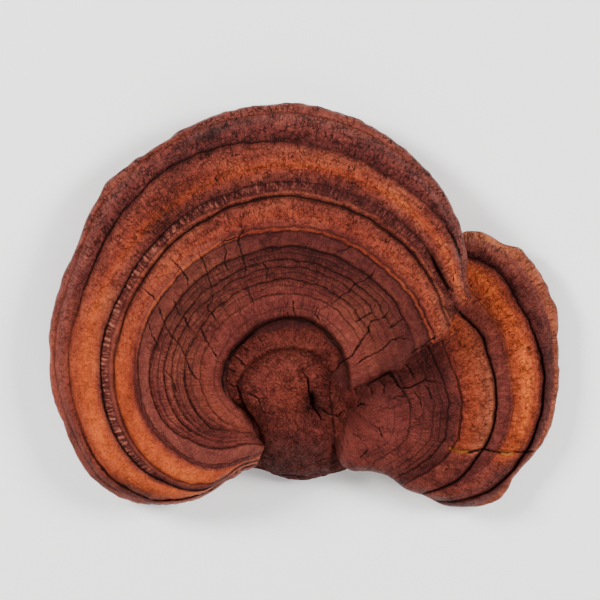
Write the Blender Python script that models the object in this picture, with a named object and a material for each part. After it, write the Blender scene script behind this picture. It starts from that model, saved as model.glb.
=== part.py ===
"""Dried reishi mushroom: a large and a small woody cap, grown as ringed fans from one leaning stem.

Lengths are millimetres until a mesh is made, angles are degrees, anticlockwise from +X seen from
above. The mushroom lies pore side down: the caps' margins and the stem's flat cut touch Z = 0.
"""

import math

import bmesh
import bpy
import numpy as np

MM = 0.001
GAP = 0.35                      # clear space kept between two pieces that meet in a furrow
MOST_SHELL = 2.0                # most that a sharp corner stretches it

# ---------------------------------------------------------------------------------------------
# Large cap: a fan about its growing point, with its growth rings as radii at these angles
# ---------------------------------------------------------------------------------------------
LARGE_CENTRE = (-7.0, -35.1)
LARGE_ANGLES = (5, 30, 38, 45, 60, 75, 90, 110, 130, 150, 170, 190, 205, 218, 230, 238, 246)
LARGE_RINGS = (
    # furrow round the knob of the stem
    (24.0, 25.9, 26.8, 27.5, 28.7, 29.0, 29.0, 27.9, 26.3, 25.1, 23.5, 20.0, 17.3, 17.3, 19.6, 21.2, 20.4),
    # dark line half way across the inner zone
    (36.8, 39.6, 40.4, 41.2, 42.7, 44.1, 44.7, 43.9, 43.1, 42.3, 40.8, 36.8, 32.1, 25.1, 20.8, 22.0, 21.4),
    # dark line inside the flat dark band
    (52.2, 54.2, 55.0, 55.3, 56.3, 56.9, 57.3, 56.7, 56.1, 55.3, 54.4, 50.6, 43.2, 35.7, 26.7, 23.6, 22.4),
    # raised lip that ends the dark inner zone
    (60.0, 61.6, 62.0, 62.4, 63.4, 64.3, 64.7, 64.3, 63.7, 62.6, 60.6, 56.7, 50.8, 45.3, 38.2, 31.5, 27.5),
    # inner edge of the wrinkled furrow band
    (69.4, 70.6, 72.0, 73.3, 74.9, 76.4, 77.2, 76.0, 73.7, 71.7, 69.7, 66.2, 61.9, 55.6, 46.9, 33.1, 28.6),
    # outer edge of the wrinkled furrow band
    (76.4, 76.5, 76.7, 79.0, 81.6, 82.7, 83.1, 81.6, 78.8, 75.5, 73.7, 70.1, 65.4, 59.1, 50.0, 34.3, 29.5),
    # thin line across the outer orange bands
    (79.4, 79.8, 81.6, 84.4, 87.2, 88.8, 89.6, 87.6, 85.6, 83.2, 81.7, 77.7, 73.0, 63.9, 51.3, 35.3, 30.3),
    # deep crease inside the rolled margin
    (81.0, 81.4, 86.4, 90.5, 93.7, 96.8, 98.8, 100.8, 97.2, 90.5, 87.4, 83.0, 77.9, 68.6, 52.5, 36.2, 31.0),
    # lip of the margin
    (82.0, 82.6, 88.3, 94.0, 103.4, 109.3, 112.1, 110.9, 107.4, 99.0, 95.0, 87.9, 82.7, 70.9, 53.9, 37.0, 31.8),
)
LARGE_RIM = (
    (20, 83.0), (30, 83.4), (38, 89.8), (45, 95.8), (55, 102.8), (65, 107.8), (75, 112.0), (90, 115.0),
    (100, 114.3), (110, 113.0), (117, 110.4), (127, 110.5), (135, 107.4), (145, 102.4), (155, 99.8),
    (170, 96.6), (180, 93.6), (190, 89.5), (200, 86.6), (208, 82.0), (216, 74.6), (224, 63.4),
    (230, 54.9), (235, 43.2), (240, 36.0), (246, 32.8), (270, 36), (310, 48), (350, 68),
)
LARGE_FIRST_SIDE = (                # the right lobe's edge over the small cap: angle at each radius
    (0, -20), (15, -12), (23.2, 0), (27.2, 6), (33, 10), (40, 12.6), (46, 15.8), (51.6, 18), (58, 18.8),
    (64, 19.4), (66.4, 20), (69, 21), (72, 22.9), (73.6, 25), (75.2, 25.5), (77.8, 26.6), (82.8, 29.5),
)
LARGE_LAST_SIDE = ((0, 246), (90, 246))
LARGE_DOME = ((0, 37.5), (0.25, 36), (0.5, 33), (0.7, 29), (0.85, 24.5), (0.93, 21), (0.975, 17))
LARGE_UNDER = ((0, 17), (0.3, 15.5), (0.6, 11.5), (0.82, 5.5), (0.92, 1.2), (0.955, 0))
LARGE_LIFT = (                      # how far the margin stands off the ground round the fan
    (20, 15), (30, 15), (42, 11), (50, 6), (60, 2), (72, 0), (100, 0.6), (125, 0), (150, 0.8), (180, 0),
    (205, 0.7), (222, 2.5), (240, 6), (300, 8), (350, 13),
)
LIFT_FROM = 0.4                     # share of the way to the rim where a margin begins to lift
LARGE_RELIEF = (                    # height of the growth rings; 3.5 is half way from ring 3 to ring 4
    (0, 0), (0.9, -1.2), (1, -2.4), (1.12, 0.2), (1.4, 0.7), (1.65, -0.4), (1.82, 0.6), (2, -0.6),
    (2.2, 0.5), (2.38, -0.3), (2.48, 0.3), (2.6, -0.6), (2.8, 0.6), (3, -0.9), (3.2, 0), (3.75, 0.1),
    (3.93, 1.1), (4.05, -0.6), (4.25, 0.5), (4.55, 1.1), (4.85, 0.5), (5, -1.5), (5.25, 0.4),
    (5.4, 0.3), (5.6, -0.9), (5.85, -1.4), (6, -1.9), (6.2, 0.6), (6.6, 1.3), (7, 0.3), (7.3, 0.9),
    (7.75, 0.4), (8, -1.7), (8.2, 0.6), (8.5, 1.3), (8.85, 0.7), (9, 0),
)
LARGE_RELIEF_SHARE = ((5, 1), (200, 1), (222, 0.7), (236, 0.35), (246, 0.2))     # less where rings crowd
LARGE_ROWS = (
    0.6, 1, 1.12, 1.4, 1.65, 1.82, 2, 2.2, 2.4, 2.6, 2.8, 3, 3.2, 3.75, 3.93, 4.05, 4.3, 4.6, 4.88,
    5, 5.25, 5.6, 5.94, 6.14, 6.6, 7, 7.35, 7.8, 8, 8.18, 8.55, 8.85, 9,
)
LARGE_COLUMNS = 46
LARGE_MIDDLE = (-1.8, -14.6)        # a point that sees the whole margin, which the underside closes on

# ---------------------------------------------------------------------------------------------
# Small cap
# ---------------------------------------------------------------------------------------------
SMALL_CENTRE = (10.2, -48.5)
SMALL_ANGLES = (-38, -30, -22, -15, -8, 0, 8, 16, 24, 32, 40, 48, 56)
SMALL_RINGS = (
    # ledge that ends the dark inner zone
    (36.8, 39.6, 43.2, 46.7, 48.9, 50.5, 51.7, 52.7, 52.7, 53.5, 54.3, 55.0, 55.4),
    # inner edge of the pitted band
    (44.5, 50.2, 55.8, 58.8, 61.7, 64.7, 66.7, 68.0, 68.7, 69.5, 68.3, 68.3, 68.3),
    # outer edge of the pitted band
    (44.9, 50.8, 57.0, 63.9, 68.1, 71.5, 73.6, 75.0, 76.4, 77.2, 77.2, 77.4, 77.4),
    # groove inside the rolled margin
    (47.8, 59.7, 69.0, 74.2, 78.8, 82.4, 86.0, 88.2, 88.9, 89.4, 90.7, 88.4, 81.6),
    # lip of the margin
    (49.8, 64.6, 72.5, 75.9, 81.3, 86.5, 90.1, 93.3, 96.8, 99.2, 99.6, 96.2, 88.0),
)
SMALL_RIM = (
    (-38, 52), (-30, 67.2), (-25, 71.8), (-22, 74.4), (-18, 75.8), (-13, 78.3), (-8, 82.4), (-2, 87.2),
    (5, 90.8), (15, 94.7), (19, 96.6), (27, 101.4), (32, 103), (37, 103.9), (42, 103.4), (46, 100.7),
    (49, 99.6), (53, 96.9), (56, 92), (58, 89), (90, 62), (150, 42), (230, 42), (290, 48),
)
SMALL_FIRST_SIDE = (
    (0, -80), (14, -72), (19, -65), (23, -48.5), (29, -40.5), (35, -39), (37.6, -38.9), (45.5, -36),
    (53.5, -34.6), (64.4, -29.4), (69.7, -27.3),
)
SMALL_LAST_SIDE = ((0, 85), (22.4, 63.4), (34.4, 54.5), (46.8, 50.2), (58, 49.2), (71, 51.8), (89, 56.6))
SMALL_DOME = (
    (0, 24.5), (0.25, 24), (0.45, 22), (0.6, 20), (0.75, 18), (0.87, 15.5), (0.94, 13), (0.975, 10.5),
)
SMALL_UNDER = ((0, 9), (0.3, 8.5), (0.6, 6), (0.82, 2.5), (0.92, 0.6), (0.955, 0))
SMALL_LIFT = ((-38, 4), (-28, 2.5), (-15, 0.8), (5, 0), (20, 0.5), (35, 0), (58, 0), (150, 2), (250, 4))
SMALL_RELIEF = (
    (0, 0), (0.4, 0.4), (0.62, -0.3), (0.75, 0.4), (0.86, 0.1), (0.915, -0.5), (0.95, 0), (0.99, 0.8),
    (1.06, -0.5), (1.3, 0.5), (1.6, 0.9), (1.9, 0.2), (2, -1.4), (2.2, -0.5), (2.8, -0.7), (3, -0.4),
    (3.2, 0.9), (3.5, 1.2), (3.82, 0.7), (4, -1.9), (4.25, 0.7), (4.6, 1), (5, 0),
)
SMALL_RELIEF_SHARE = ((-38, 0.3), (-31, 0.7), (-24, 1), (56, 1))
SMALL_ROWS = (
    0.3, 0.5, 0.62, 0.75, 0.86, 0.915, 0.95, 0.99, 1.06, 1.3, 1.6, 1.88, 2, 2.2, 2.8, 3, 3.2, 3.5, 3.82,
    4, 4.25, 4.6, 5,
)
SMALL_COLUMNS = 24
SMALL_MIDDLE = (58.0, -38.0)

# ---------------------------------------------------------------------------------------------
# Both caps' margins: (share of the overhang, drawn back by, share of the way down)
# ---------------------------------------------------------------------------------------------
MARGIN = ((0.85, 0, 0.12), (1, 0, 0.4), (0.6, 0.2, 0.78), (0, 2.2, 1))      # the last is the pore side's edge
SIDE_OVERHANG = 0.8                 # of a fan's two sides, where no ring gives it
SIDE_ROLL_WIDTH = 5.0
SIDE_ROLL_DROP = 2.6
MOST_OVERHANG_PER_MM = 0.16         # of distance from a fan's corner, so the corners stay narrow
UNDERSIDE_LOOPS = (0.9, 0.7, 0.4)

# ---------------------------------------------------------------------------------------------
# Stem: outline seen from above, and the flat cut it stands on
# ---------------------------------------------------------------------------------------------
STEM_CENTRE = (-5.8, -38.3)
STEM_OUTLINE = (
    (2, 26.8), (14, 25.2), (25, 22.8), (31, 22.2), (39, 26.8), (47, 29), (59, 30.4), (70, 31.6),
    (91, 31.4), (117, 30.8), (142, 29.8), (162, 27.6), (173, 25.6), (181, 24), (187, 19.6), (197, 17.4),
    (215, 17.3), (228, 19.3), (235, 24.6), (238, 31), (248, 30.2), (263, 31.4), (280, 33), (298, 34),
    (311, 36), (316, 31.6), (323, 26.4), (340, 23.2), (356, 22.4),
)
STEM_EDGE = (                       # height where the top meets that outline
    (2, 27.5), (14, 29), (31, 31.5), (47, 32.5), (90, 33), (130, 33), (162, 32.5), (182, 31.5), (197, 29),
    (215, 27), (228, 23), (238, 11), (248, 8), (263, 6), (280, 6), (298, 6.5), (311, 9.5), (323, 20),
    (340, 25), (356, 26.5),
)
STEM_CROWN = 42.5
STEM_KNOB_POWER = 3.4               # how square the shoulder of the knob is, towards +Y
STEM_FOOT_POWER = 1.8               # and how evenly the stem falls away, towards -Y
STEM_SPREAD_POWER = 1.5             # how soon the stem's side narrows to the cut, on the way down
STEM_FOLDS = (                      # valleys in the top: (path seen from above, half width, depth)
    (((-0.6, -26.7), (1.6, -33.5), (2.9, -40), (6.4, -44.7), (8.7, -45.9)), 3.2, 2.0),
    (((8.7, -28.3), (9.1, -41.6), (10, -55.7)), 2.6, 1.2),
    (((12.1, -57), (14.1, -63.5)), 5.0, 3.4),
    (((-25.2, -31.8), (-24.1, -37.7), (-20.6, -43.5), (-18.3, -53.5)), 2.6, 1.6),
)
STEM_TOP_ROWS = (0.16, 0.3, 0.42, 0.53, 0.63, 0.72, 0.8, 0.88, 0.95, 1)
STEM_SIDE_ROWS = (0.14, 0.34, 0.58, 0.8, 1)
STEM_CUT_CENTRE = (-1.0, -57.6)
STEM_CUT_RADII = (17.5, 12.6)
STEM_COLUMNS = 50

CREASE_ANGLE = 50                   # edges sharper than this aren't shaded smooth
ROW_ROUNDS = 12                     # rounds in which a row of a fan settles between its sloping sides

CRUST = (0.157, 0.036, 0.018)
CRUST_ORANGE = (0.352, 0.084, 0.024)
CRUST_DARK = (0.082, 0.024, 0.016)
LACQUER_ROUGHNESS = 0.42
DULL_ROUGHNESS = 0.55


def curve(points, place):
    """Value at each place of a smooth curve through hand-chosen points, which never overshoots them."""
    at, value = np.array(points, float).T
    slope = np.diff(value) / np.diff(at)
    before, after = slope[:-1], slope[1:]
    turns = before * after <= 0
    total = np.where(turns, 1, before + after)
    inner = np.where(turns, 0, 2 * before * after / total)
    tangent = np.concatenate([slope[:1], inner, slope[-1:]])
    place = np.clip(place, at[0], at[-1])
    index = np.clip(np.searchsorted(at, place) - 1, 0, len(at) - 2)
    step = at[index + 1] - at[index]
    t = (place - at[index]) / step
    start = value[index] * (1 + 2 * t) + tangent[index] * step * t
    end = value[index + 1] * (3 - 2 * t) - tangent[index + 1] * step * (1 - t)
    return start * (1 - t) ** 2 + end * t ** 2


def closed_curve(points, angle):
    """The same curve for points that go once round, at any angle."""
    last, first = points[-1], points[0]
    ends = ((last[0] - 360, last[1]),) + tuple(points) + ((first[0] + 360, first[1]),)
    return curve(ends, np.mod(angle - first[0], 360) + first[0])


def smooth_step(low, high, value):
    """Rises from 0 at low to 1 at high."""
    t = np.clip((value - low) / (high - low), 0, 1)
    return t * t * (3 - 2 * t)


def polar(centre, radius, angle):
    """X and Y of points at a radius and angle from a centre."""
    turn = np.radians(angle)
    return centre[0] + radius * np.cos(turn), centre[1] + radius * np.sin(turn)


class Cap:
    """One ringed fan, with its top, its rolled margin and its underside."""

    def __init__(self, centre, angles, rings, rim, sides, dome, under, lift, relief, relief_share, middle):
        self.centre = centre
        self.rings = [tuple(zip(angles, radii)) for radii in rings]
        self.rim = rim
        self.first_side, self.last_side = sides
        self.dome = dome
        self.under = under
        self.lift = lift
        self.relief = relief
        self.relief_share = relief_share
        self.middle = middle

    def radius(self, place, angle):
        """Radius of a place among the rings, such as 3.5 for half way from ring 3 to ring 4."""
        low = int(math.floor(place))
        share = place - low
        inner = curve(self.rings[low - 1], angle) if low > 0 else np.zeros_like(angle)
        if share == 0:
            return inner
        return inner + (curve(self.rings[low], angle) - inner) * share

    def outward(self, radius, angle):
        """Share of the way from the centre to the rim."""
        return radius / closed_curve(self.rim, angle)

    def raised(self, radius, angle):
        """How far a point stands higher because the margin is off the ground there."""
        return closed_curve(self.lift, angle) * smooth_step(LIFT_FROM, 1, self.outward(radius, angle))

    def top(self, place, radius, angle):
        """Height of the ringed top, rolled down along the fan's two sides."""
        height = curve(self.dome, self.outward(radius, angle)) + self.raised(radius, angle)
        height = height + curve(self.relief, place) * curve(self.relief_share, angle)
        to_side = np.minimum(
            angle - curve(self.first_side, radius), curve(self.last_side, radius) - angle
        )
        near = 1 - np.clip(np.radians(to_side) * radius / SIDE_ROLL_WIDTH, 0, 1)
        return height - SIDE_ROLL_DROP * near ** 2

    def underside(self, x, y):
        """Height of the pore side."""
        x, y = x - self.centre[0], y - self.centre[1]
        radius = np.hypot(x, y)
        angle = np.degrees(np.arctan2(y, x))
        return curve(self.under, self.outward(radius, angle)) + self.raised(radius, angle)

    def row(self, place, columns):
        """Points of one row of the top, which follows a growth ring from side to side."""
        share = np.linspace(0, 1, columns)
        angle = share * 0
        for _ in range(ROW_ROUNDS):
            radius = self.radius(place, angle)
            first = curve(self.first_side, radius)
            angle = first + (curve(self.last_side, radius) - first) * share
        x, y = polar(self.centre, radius, angle)
        from_corner = np.minimum(share, 1 - share) * np.radians(angle[-1] - angle[0]) * radius
        over = closed_curve(self.rim, angle) - radius
        over = np.minimum(over, SIDE_OVERHANG + from_corner * MOST_OVERHANG_PER_MM)
        return np.stack([x, y, self.top(place, radius, angle)], axis=1), over

    def mesh(self, name, places, columns):
        """The closed solid: top rows out from the growing point, the margin's loops and the underside."""
        solid = bmesh.new()
        centre = np.array([0.0])
        pole = solid.verts.new((*self.centre, float(self.top(0, centre, centre)[0]) + SIDE_ROLL_DROP))
        rows = []
        for place in places:
            points, over = self.row(place, columns)
            rows.append([solid.verts.new(point) for point in points])
        for inner, outer in zip(rows, rows[1:]):
            for a, b, c, d in zip(inner, outer, outer[1:], inner[1:]):
                solid.faces.new((a, b, c, d))
        for b, c in zip(rows[0], rows[0][1:]):
            solid.faces.new((pole, b, c))

        edge = [pole] + [row[0] for row in rows] + rows[-1][1:] + [row[-1] for row in rows[-2::-1]]
        overhang = np.full(len(edge), SIDE_OVERHANG)
        overhang[len(rows):len(rows) + columns] = np.maximum(over, SIDE_OVERHANG)
        loop = edge
        for points in self.margin(np.array([vert.co for vert in edge]), overhang):
            loop = next_loop(solid, loop, points)
        outer_loop = np.array([vert.co for vert in loop])
        for share in UNDERSIDE_LOOPS:
            points = outer_loop.copy()
            points[:, :2] = self.middle + (outer_loop[:, :2] - self.middle) * share
            points[:, 2] = self.underside(points[:, 0], points[:, 1])
            loop = next_loop(solid, loop, points)
        x, y = np.array(self.middle)
        close_loop(solid, loop, (x, y, float(self.underside(np.array([x]), np.array([y]))[0])))
        return finished(name, solid)

    def margin(self, edge, overhang):
        """Loops from the edge of the top, out over the margin and back to the underside."""
        along = np.roll(edge, -1, axis=0) - np.roll(edge, 1, axis=0)
        out = np.stack([along[:, 1], -along[:, 0]], axis=1)
        out /= np.linalg.norm(out, axis=1, keepdims=True)
        inward = self.middle - edge[:, :2]
        inward /= np.linalg.norm(inward, axis=1, keepdims=True)
        low = edge[:, :2] + inward * MARGIN[-1][1]
        bottom = self.underside(low[:, 0], low[:, 1])
        for share, back, down in MARGIN:
            points = edge.copy()
            points[:, :2] += out * (overhang * share)[:, None] + inward * back
            points[:, 2] += (bottom - edge[:, 2]) * down
            yield points


def next_loop(solid, loop, points):
    """A closed loop of points, joined to the loop before it by quads."""
    new = [solid.verts.new(point) for point in points]
    for a, b, c, d in zip(loop, loop[1:] + loop[:1], new[1:] + new[:1], new):
        solid.faces.new((a, d, c, b))
    return new


def close_loop(solid, loop, point):
    """Closes a loop with a fan to one point."""
    tip = solid.verts.new(point)
    for a, b in zip(loop, loop[1:] + loop[:1]):
        solid.faces.new((a, tip, b))


def finished(name, solid):
    """A mesh in metres, with its faces pointing out and shaded smooth but for its sharp creases."""
    bmesh.ops.scale(solid, vec=(MM, MM, MM), verts=solid.verts)
    bmesh.ops.triangulate(solid, faces=solid.faces)
    bmesh.ops.recalc_face_normals(solid, faces=solid.faces)
    mesh = bpy.data.meshes.new(name)
    solid.to_mesh(mesh)
    solid.free()
    mesh.shade_smooth()
    mesh.set_sharp_from_angle(angle=math.radians(CREASE_ANGLE))
    return mesh


def valley(x, y, path, half_width, depth):
    """Depth at each point of a round valley that follows a path."""
    nearest = np.full_like(x, np.inf)
    for (x1, y1), (x2, y2) in zip(path, path[1:]):
        dx, dy = x2 - x1, y2 - y1
        along = np.clip(((x - x1) * dx + (y - y1) * dy) / (dx * dx + dy * dy), 0, 1)
        nearest = np.minimum(nearest, np.hypot(x - x1 - along * dx, y - y1 - along * dy))
    return depth * (1 - np.clip(nearest / half_width, 0, 1) ** 2) ** 2


def stem_mesh(name):
    """The knob and the leaning stem, seen from above, down to the flat cut it stands on."""
    angle = np.arange(STEM_COLUMNS) * 360 / STEM_COLUMNS
    outline = closed_curve(STEM_OUTLINE, angle)
    edge = closed_curve(STEM_EDGE, angle)
    towards_knob = (1 + np.sin(np.radians(angle))) / 2
    power = STEM_FOOT_POWER + (STEM_KNOB_POWER - STEM_FOOT_POWER) * towards_knob
    solid = bmesh.new()
    tip = solid.verts.new((*STEM_CENTRE, STEM_CROWN))
    loop = None
    for share in STEM_TOP_ROWS:
        x, y = polar(STEM_CENTRE, outline * share, angle)
        height = edge + (STEM_CROWN - edge) * (1 - share ** power)
        for fold in STEM_FOLDS:
            height = height - valley(x, y, *fold)
        points = np.stack([x, y, height], axis=1)
        if loop is None:
            loop = [solid.verts.new(point) for point in points]
            for a, b in zip(loop, loop[1:] + loop[:1]):
                solid.faces.new((tip, a, b))
        else:
            loop = next_loop(solid, loop, points)
    rim = points
    turn = np.radians(angle)
    foot = np.stack(
        [
            STEM_CUT_CENTRE[0] + STEM_CUT_RADII[0] * np.cos(turn),
            STEM_CUT_CENTRE[1] + STEM_CUT_RADII[1] * np.sin(turn),
            turn * 0,
        ],
        axis=1,
    )
    for share in STEM_SIDE_ROWS:
        points = rim + (foot - rim) * share
        points[:, :2] = foot[:, :2] + (rim - foot)[:, :2] * (1 - share) ** STEM_SPREAD_POWER
        loop = next_loop(solid, loop, points)
    solid.faces.new(loop[::-1])
    return finished(name, solid)


def material(name, colour, roughness):
    """Lacquered or dull crust of one colour."""
    made = bpy.data.materials.new(name)
    made.use_nodes = True
    shader = made.node_tree.nodes["Principled BSDF"]
    shader.inputs["Base Color"].default_value = (*colour, 1)
    shader.inputs["Roughness"].default_value = roughness
    shader.inputs["Metallic"].default_value = 0
    return made


def place(name, mesh, finish):
    """Adds a piece to the scene."""
    piece = bpy.data.objects.new(name, mesh)
    piece.data.materials.append(finish)
    bpy.context.scene.collection.objects.link(piece)
    return piece


def cut_clear_of(piece, other):
    """Cuts a piece back from another, which is grown by the gap for it."""
    grown = other.data.copy()
    solid = bmesh.new()
    solid.from_mesh(grown)
    solid.normal_update()
    for vert in solid.verts:
        vert.co += vert.normal * min(vert.calc_shell_factor(), MOST_SHELL) * GAP * MM
    solid.to_mesh(grown)
    solid.free()
    cutter = bpy.data.objects.new(f"{piece.name}_clear_of_{other.name}", grown)
    bpy.context.scene.collection.objects.link(cutter)
    cutter.hide_render = True
    cutter.display_type = "WIRE"
    cut = piece.modifiers.new(f"clear_of_{other.name}", "BOOLEAN")
    cut.operation = "DIFFERENCE"
    cut.solver = "EXACT"
    cut.use_self = True
    cut.object = cutter


def main():
    for old in list(bpy.data.objects):
        bpy.data.objects.remove(old, do_unlink=True)

    large = Cap(
        LARGE_CENTRE, LARGE_ANGLES, LARGE_RINGS, LARGE_RIM, (LARGE_FIRST_SIDE, LARGE_LAST_SIDE),
        LARGE_DOME, LARGE_UNDER, LARGE_LIFT, LARGE_RELIEF, LARGE_RELIEF_SHARE, LARGE_MIDDLE,
    )
    small = Cap(
        SMALL_CENTRE, SMALL_ANGLES, SMALL_RINGS, SMALL_RIM, (SMALL_FIRST_SIDE, SMALL_LAST_SIDE),
        SMALL_DOME, SMALL_UNDER, SMALL_LIFT, SMALL_RELIEF, SMALL_RELIEF_SHARE, SMALL_MIDDLE,
    )
    stem = place("stem", stem_mesh("stem"), material("dark crust", CRUST_DARK, DULL_ROUGHNESS))
    large_cap = place(
        "large_cap",
        large.mesh("large_cap", LARGE_ROWS, LARGE_COLUMNS),
        material("red crust", CRUST, LACQUER_ROUGHNESS),
    )
    small_cap = place(
        "small_cap",
        small.mesh("small_cap", SMALL_ROWS, SMALL_COLUMNS),
        material("orange crust", CRUST_ORANGE, LACQUER_ROUGHNESS),
    )
    cut_clear_of(large_cap, stem)
    cut_clear_of(small_cap, stem)
    cut_clear_of(small_cap, large_cap)


main()
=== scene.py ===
"""A dried reishi mushroom, dressed: two woody caps ringed with growth bands, on one leaning stem.

Lengths are millimetres until a mesh is made. Angles are degrees, anticlockwise from +X seen from
above. A growth line is named by its place among a cap's rings, such as 3.5 for half way from ring 3
to ring 4. Cracks, stains and patches of painted sheen and painted shade are placed by their pixels
in the photograph's 600 x 600 frame.
"""

import logging
import math
from dataclasses import dataclass, field
from enum import Enum
from typing import Sequence

import bpy
import numpy as np
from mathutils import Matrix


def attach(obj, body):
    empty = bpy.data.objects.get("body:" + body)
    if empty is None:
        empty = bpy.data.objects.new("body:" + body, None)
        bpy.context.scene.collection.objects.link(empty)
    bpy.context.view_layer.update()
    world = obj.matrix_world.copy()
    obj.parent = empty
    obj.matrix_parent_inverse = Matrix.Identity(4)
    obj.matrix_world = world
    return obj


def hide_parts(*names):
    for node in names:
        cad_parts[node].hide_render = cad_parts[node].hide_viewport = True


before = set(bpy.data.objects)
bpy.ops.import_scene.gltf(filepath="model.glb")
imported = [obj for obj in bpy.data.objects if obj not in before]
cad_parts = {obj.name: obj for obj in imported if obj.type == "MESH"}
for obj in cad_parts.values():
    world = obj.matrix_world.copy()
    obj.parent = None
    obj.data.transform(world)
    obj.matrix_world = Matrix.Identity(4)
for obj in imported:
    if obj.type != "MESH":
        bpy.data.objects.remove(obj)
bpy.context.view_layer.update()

LOG = logging.getLogger("reishi")
MM = 0.001

Points = tuple[tuple[float, ...], ...]
Arrays = dict[str, np.ndarray]  # the marks of some vertices


# ---- Curves and small sums ----
def curve(points: Points, place: np.ndarray) -> np.ndarray:
    """Value at each place of a smooth curve through given points, which never overshoots them.

    Args:
        points: (place, value) pairs in order.
        place: where the values are wanted; places past the ends take the end's value.

    Returns:
        The values, in the shape of place.
    """
    at, value = np.array(points, float).T
    slope = np.diff(value) / np.diff(at)
    before, after = slope[:-1], slope[1:]
    turns = before * after <= 0
    total = np.where(turns, 1, before + after)
    inner = np.where(turns, 0, 2 * before * after / total)
    tangent = np.concatenate([slope[:1], inner, slope[-1:]])
    place = np.clip(place, at[0], at[-1])
    index = np.clip(np.searchsorted(at, place) - 1, 0, len(at) - 2)
    step = at[index + 1] - at[index]
    t = (place - at[index]) / step
    start = value[index] * (1 + 2 * t) + tangent[index] * step * t
    end = value[index + 1] * (3 - 2 * t) - tangent[index + 1] * step * (1 - t)
    return start * (1 - t) ** 2 + end * t ** 2


def closed_curve(points: Points, angle: np.ndarray) -> np.ndarray:
    """Value of a curve whose points go once round.

    Args:
        points: (angle, value) pairs in order.
        angle: any angles.

    Returns:
        The values, in the shape of angle.
    """
    last, first = points[-1], points[0]
    ends = ((last[0] - 360, last[1]),) + tuple(points) + ((first[0] + 360, first[1]),)
    return curve(ends, np.mod(angle - first[0], 360) + first[0])


def smooth_step(low: float, high: float, value: np.ndarray) -> np.ndarray:
    """Rises smoothly from 0 at low to 1 at high."""
    t = np.clip((value - low) / (high - low), 0, 1)
    return t * t * (3 - 2 * t)


def ripple(along: np.ndarray, wave: float, seed: float) -> np.ndarray:
    """An uneven wave that never repeats within the mushroom, as a growth line wavers.

    Args:
        along: distance along the line, mm.
        wave: length of the main wave, mm.
        seed: a number that sets one line's waver apart from another's.

    Returns:
        Values of about -1 to 1.
    """
    turn = 2 * math.pi * along / wave
    uneven = np.sin(turn + 1.7 * seed) + 0.7 * np.sin(1.73 * turn + 2.9 * seed)
    return (uneven + 0.5 * np.sin(2.81 * turn + 4.1 * seed) + 0.35 * np.sin(4.37 * turn + seed)) / 1.9


def polar(x: np.ndarray, y: np.ndarray, centre: tuple[float, float]) -> tuple[np.ndarray, np.ndarray]:
    """Radius and angle of each point about a centre."""
    x, y = x - centre[0], y - centre[1]
    return np.hypot(x, y), np.degrees(np.arctan2(y, x))


def even_steps(places: np.ndarray, weight: np.ndarray, count: int) -> np.ndarray:
    """Count places from end to end of fine, rising ones, closest together where weight is greatest."""
    total = np.concatenate([[0], np.cumsum((weight[1:] + weight[:-1]) / 2 * np.diff(places))])
    return np.interp(np.linspace(0, total[-1], count), total, places)


# ---- The photograph's view ----
@dataclass(frozen=True)
class PhotoView:
    """The photograph's camera, which looks straight down from well above the caps."""

    x: float = -1.8  # mm
    y: float = 1.4
    height: float = 1342.0
    lens: float = 200.0  # focal length, mm
    sensor: float = 36.0
    side: int = 600  # of the picture, pixels
    nearest: float = 10.0  # mm from the camera that it shows

    def pixels(self, points: np.ndarray) -> np.ndarray:
        """Where points of the mushroom fall in the photograph.

        Args:
            points: N x 3 places, mm.

        Returns:
            N x 2 pixels, from the picture's top left.
        """
        scale = self.lens / self.sensor * self.side / (self.height - points[:, 2])
        across = self.side / 2 + (points[:, 0] - self.x) * scale
        return np.stack([across, self.side / 2 - (points[:, 1] - self.y) * scale], axis=1)

    def mm_per_pixel(self) -> float:
        """Size of a pixel at the ground."""
        return self.height * self.sensor / self.lens / self.side

    def place(self) -> None:
        """Adds the camera."""
        camera = bpy.data.cameras.new("camera")
        camera.lens = self.lens
        camera.sensor_width = self.sensor
        camera.clip_start = self.nearest * MM
        holder = bpy.data.objects.new("camera", camera)
        holder.location = (self.x * MM, self.y * MM, self.height * MM)
        bpy.context.scene.collection.objects.link(holder)
        bpy.context.scene.camera = holder


VIEW = PhotoView()


# ---- What marks the crust ----
@dataclass(frozen=True)
class Cut:
    """A crack or a furrow that follows a path in the photograph."""

    path: Points
    width: float  # mm, half way down
    depth: float  # mm
    dark: float  # how much darker it is on both sides of its bottom, with dirt and painted shade
    crisp: bool  # a crack has a thin black line at its bottom, a furrow has none
    bare: bool  # it gapes so far that it shows the flesh


def alike(
    width: float, depth: float, dark: float, *paths: Points, crisp: bool = True, bare: bool = False
) -> tuple[Cut, ...]:
    """Cracks or furrows that differ in nothing but their paths."""
    return tuple(Cut(path, width, depth, dark, crisp, bare) for path in paths)


@dataclass(frozen=True)
class Patch:
    """A soft-edged lighter (or, below 0, darker) patch of the crust, in pixels; some are stains and the rest
    painted sheen and painted shade.
    """

    x: float
    y: float
    wide: float
    high: float
    turn: float  # degrees
    amount: float


@dataclass(frozen=True)
class GrowthLine:
    """A line, ridge or groove along one growth ring."""

    place: float  # among the rings
    offset: float  # outwards of it, mm
    width: float  # mm
    height: float  # mm, below 0 for a groove
    # how much darker it is along it, with dirt and painted shade
    dark: float = 0.0
    reach: Points = ((-30, 1), (260, 1))


@dataclass(frozen=True)
class Swell:
    """A rounded roll between two places among the rings, which takes the place of their relief."""

    start: float
    end: float
    height: float  # mm
    reach: Points  # how much of it there is at each angle

    def share(self, place: np.ndarray) -> np.ndarray:
        """How high the roll is at each place, from 0 to 1."""
        return np.sin(math.pi * np.clip((place - self.start) / (self.end - self.start), 0, 1))


@dataclass(frozen=True)
class Waver:
    """How the growth rings near one place stray in and out as they go round the fan."""

    place: float  # among the rings
    spread: float  # of places that stray with it
    amount: float  # mm
    wave: float  # mm


def each(kind: type, *table: tuple) -> tuple:
    """Makes one thing of a kind from each row of a table."""
    return tuple(kind(*row) for row in table)


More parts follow.
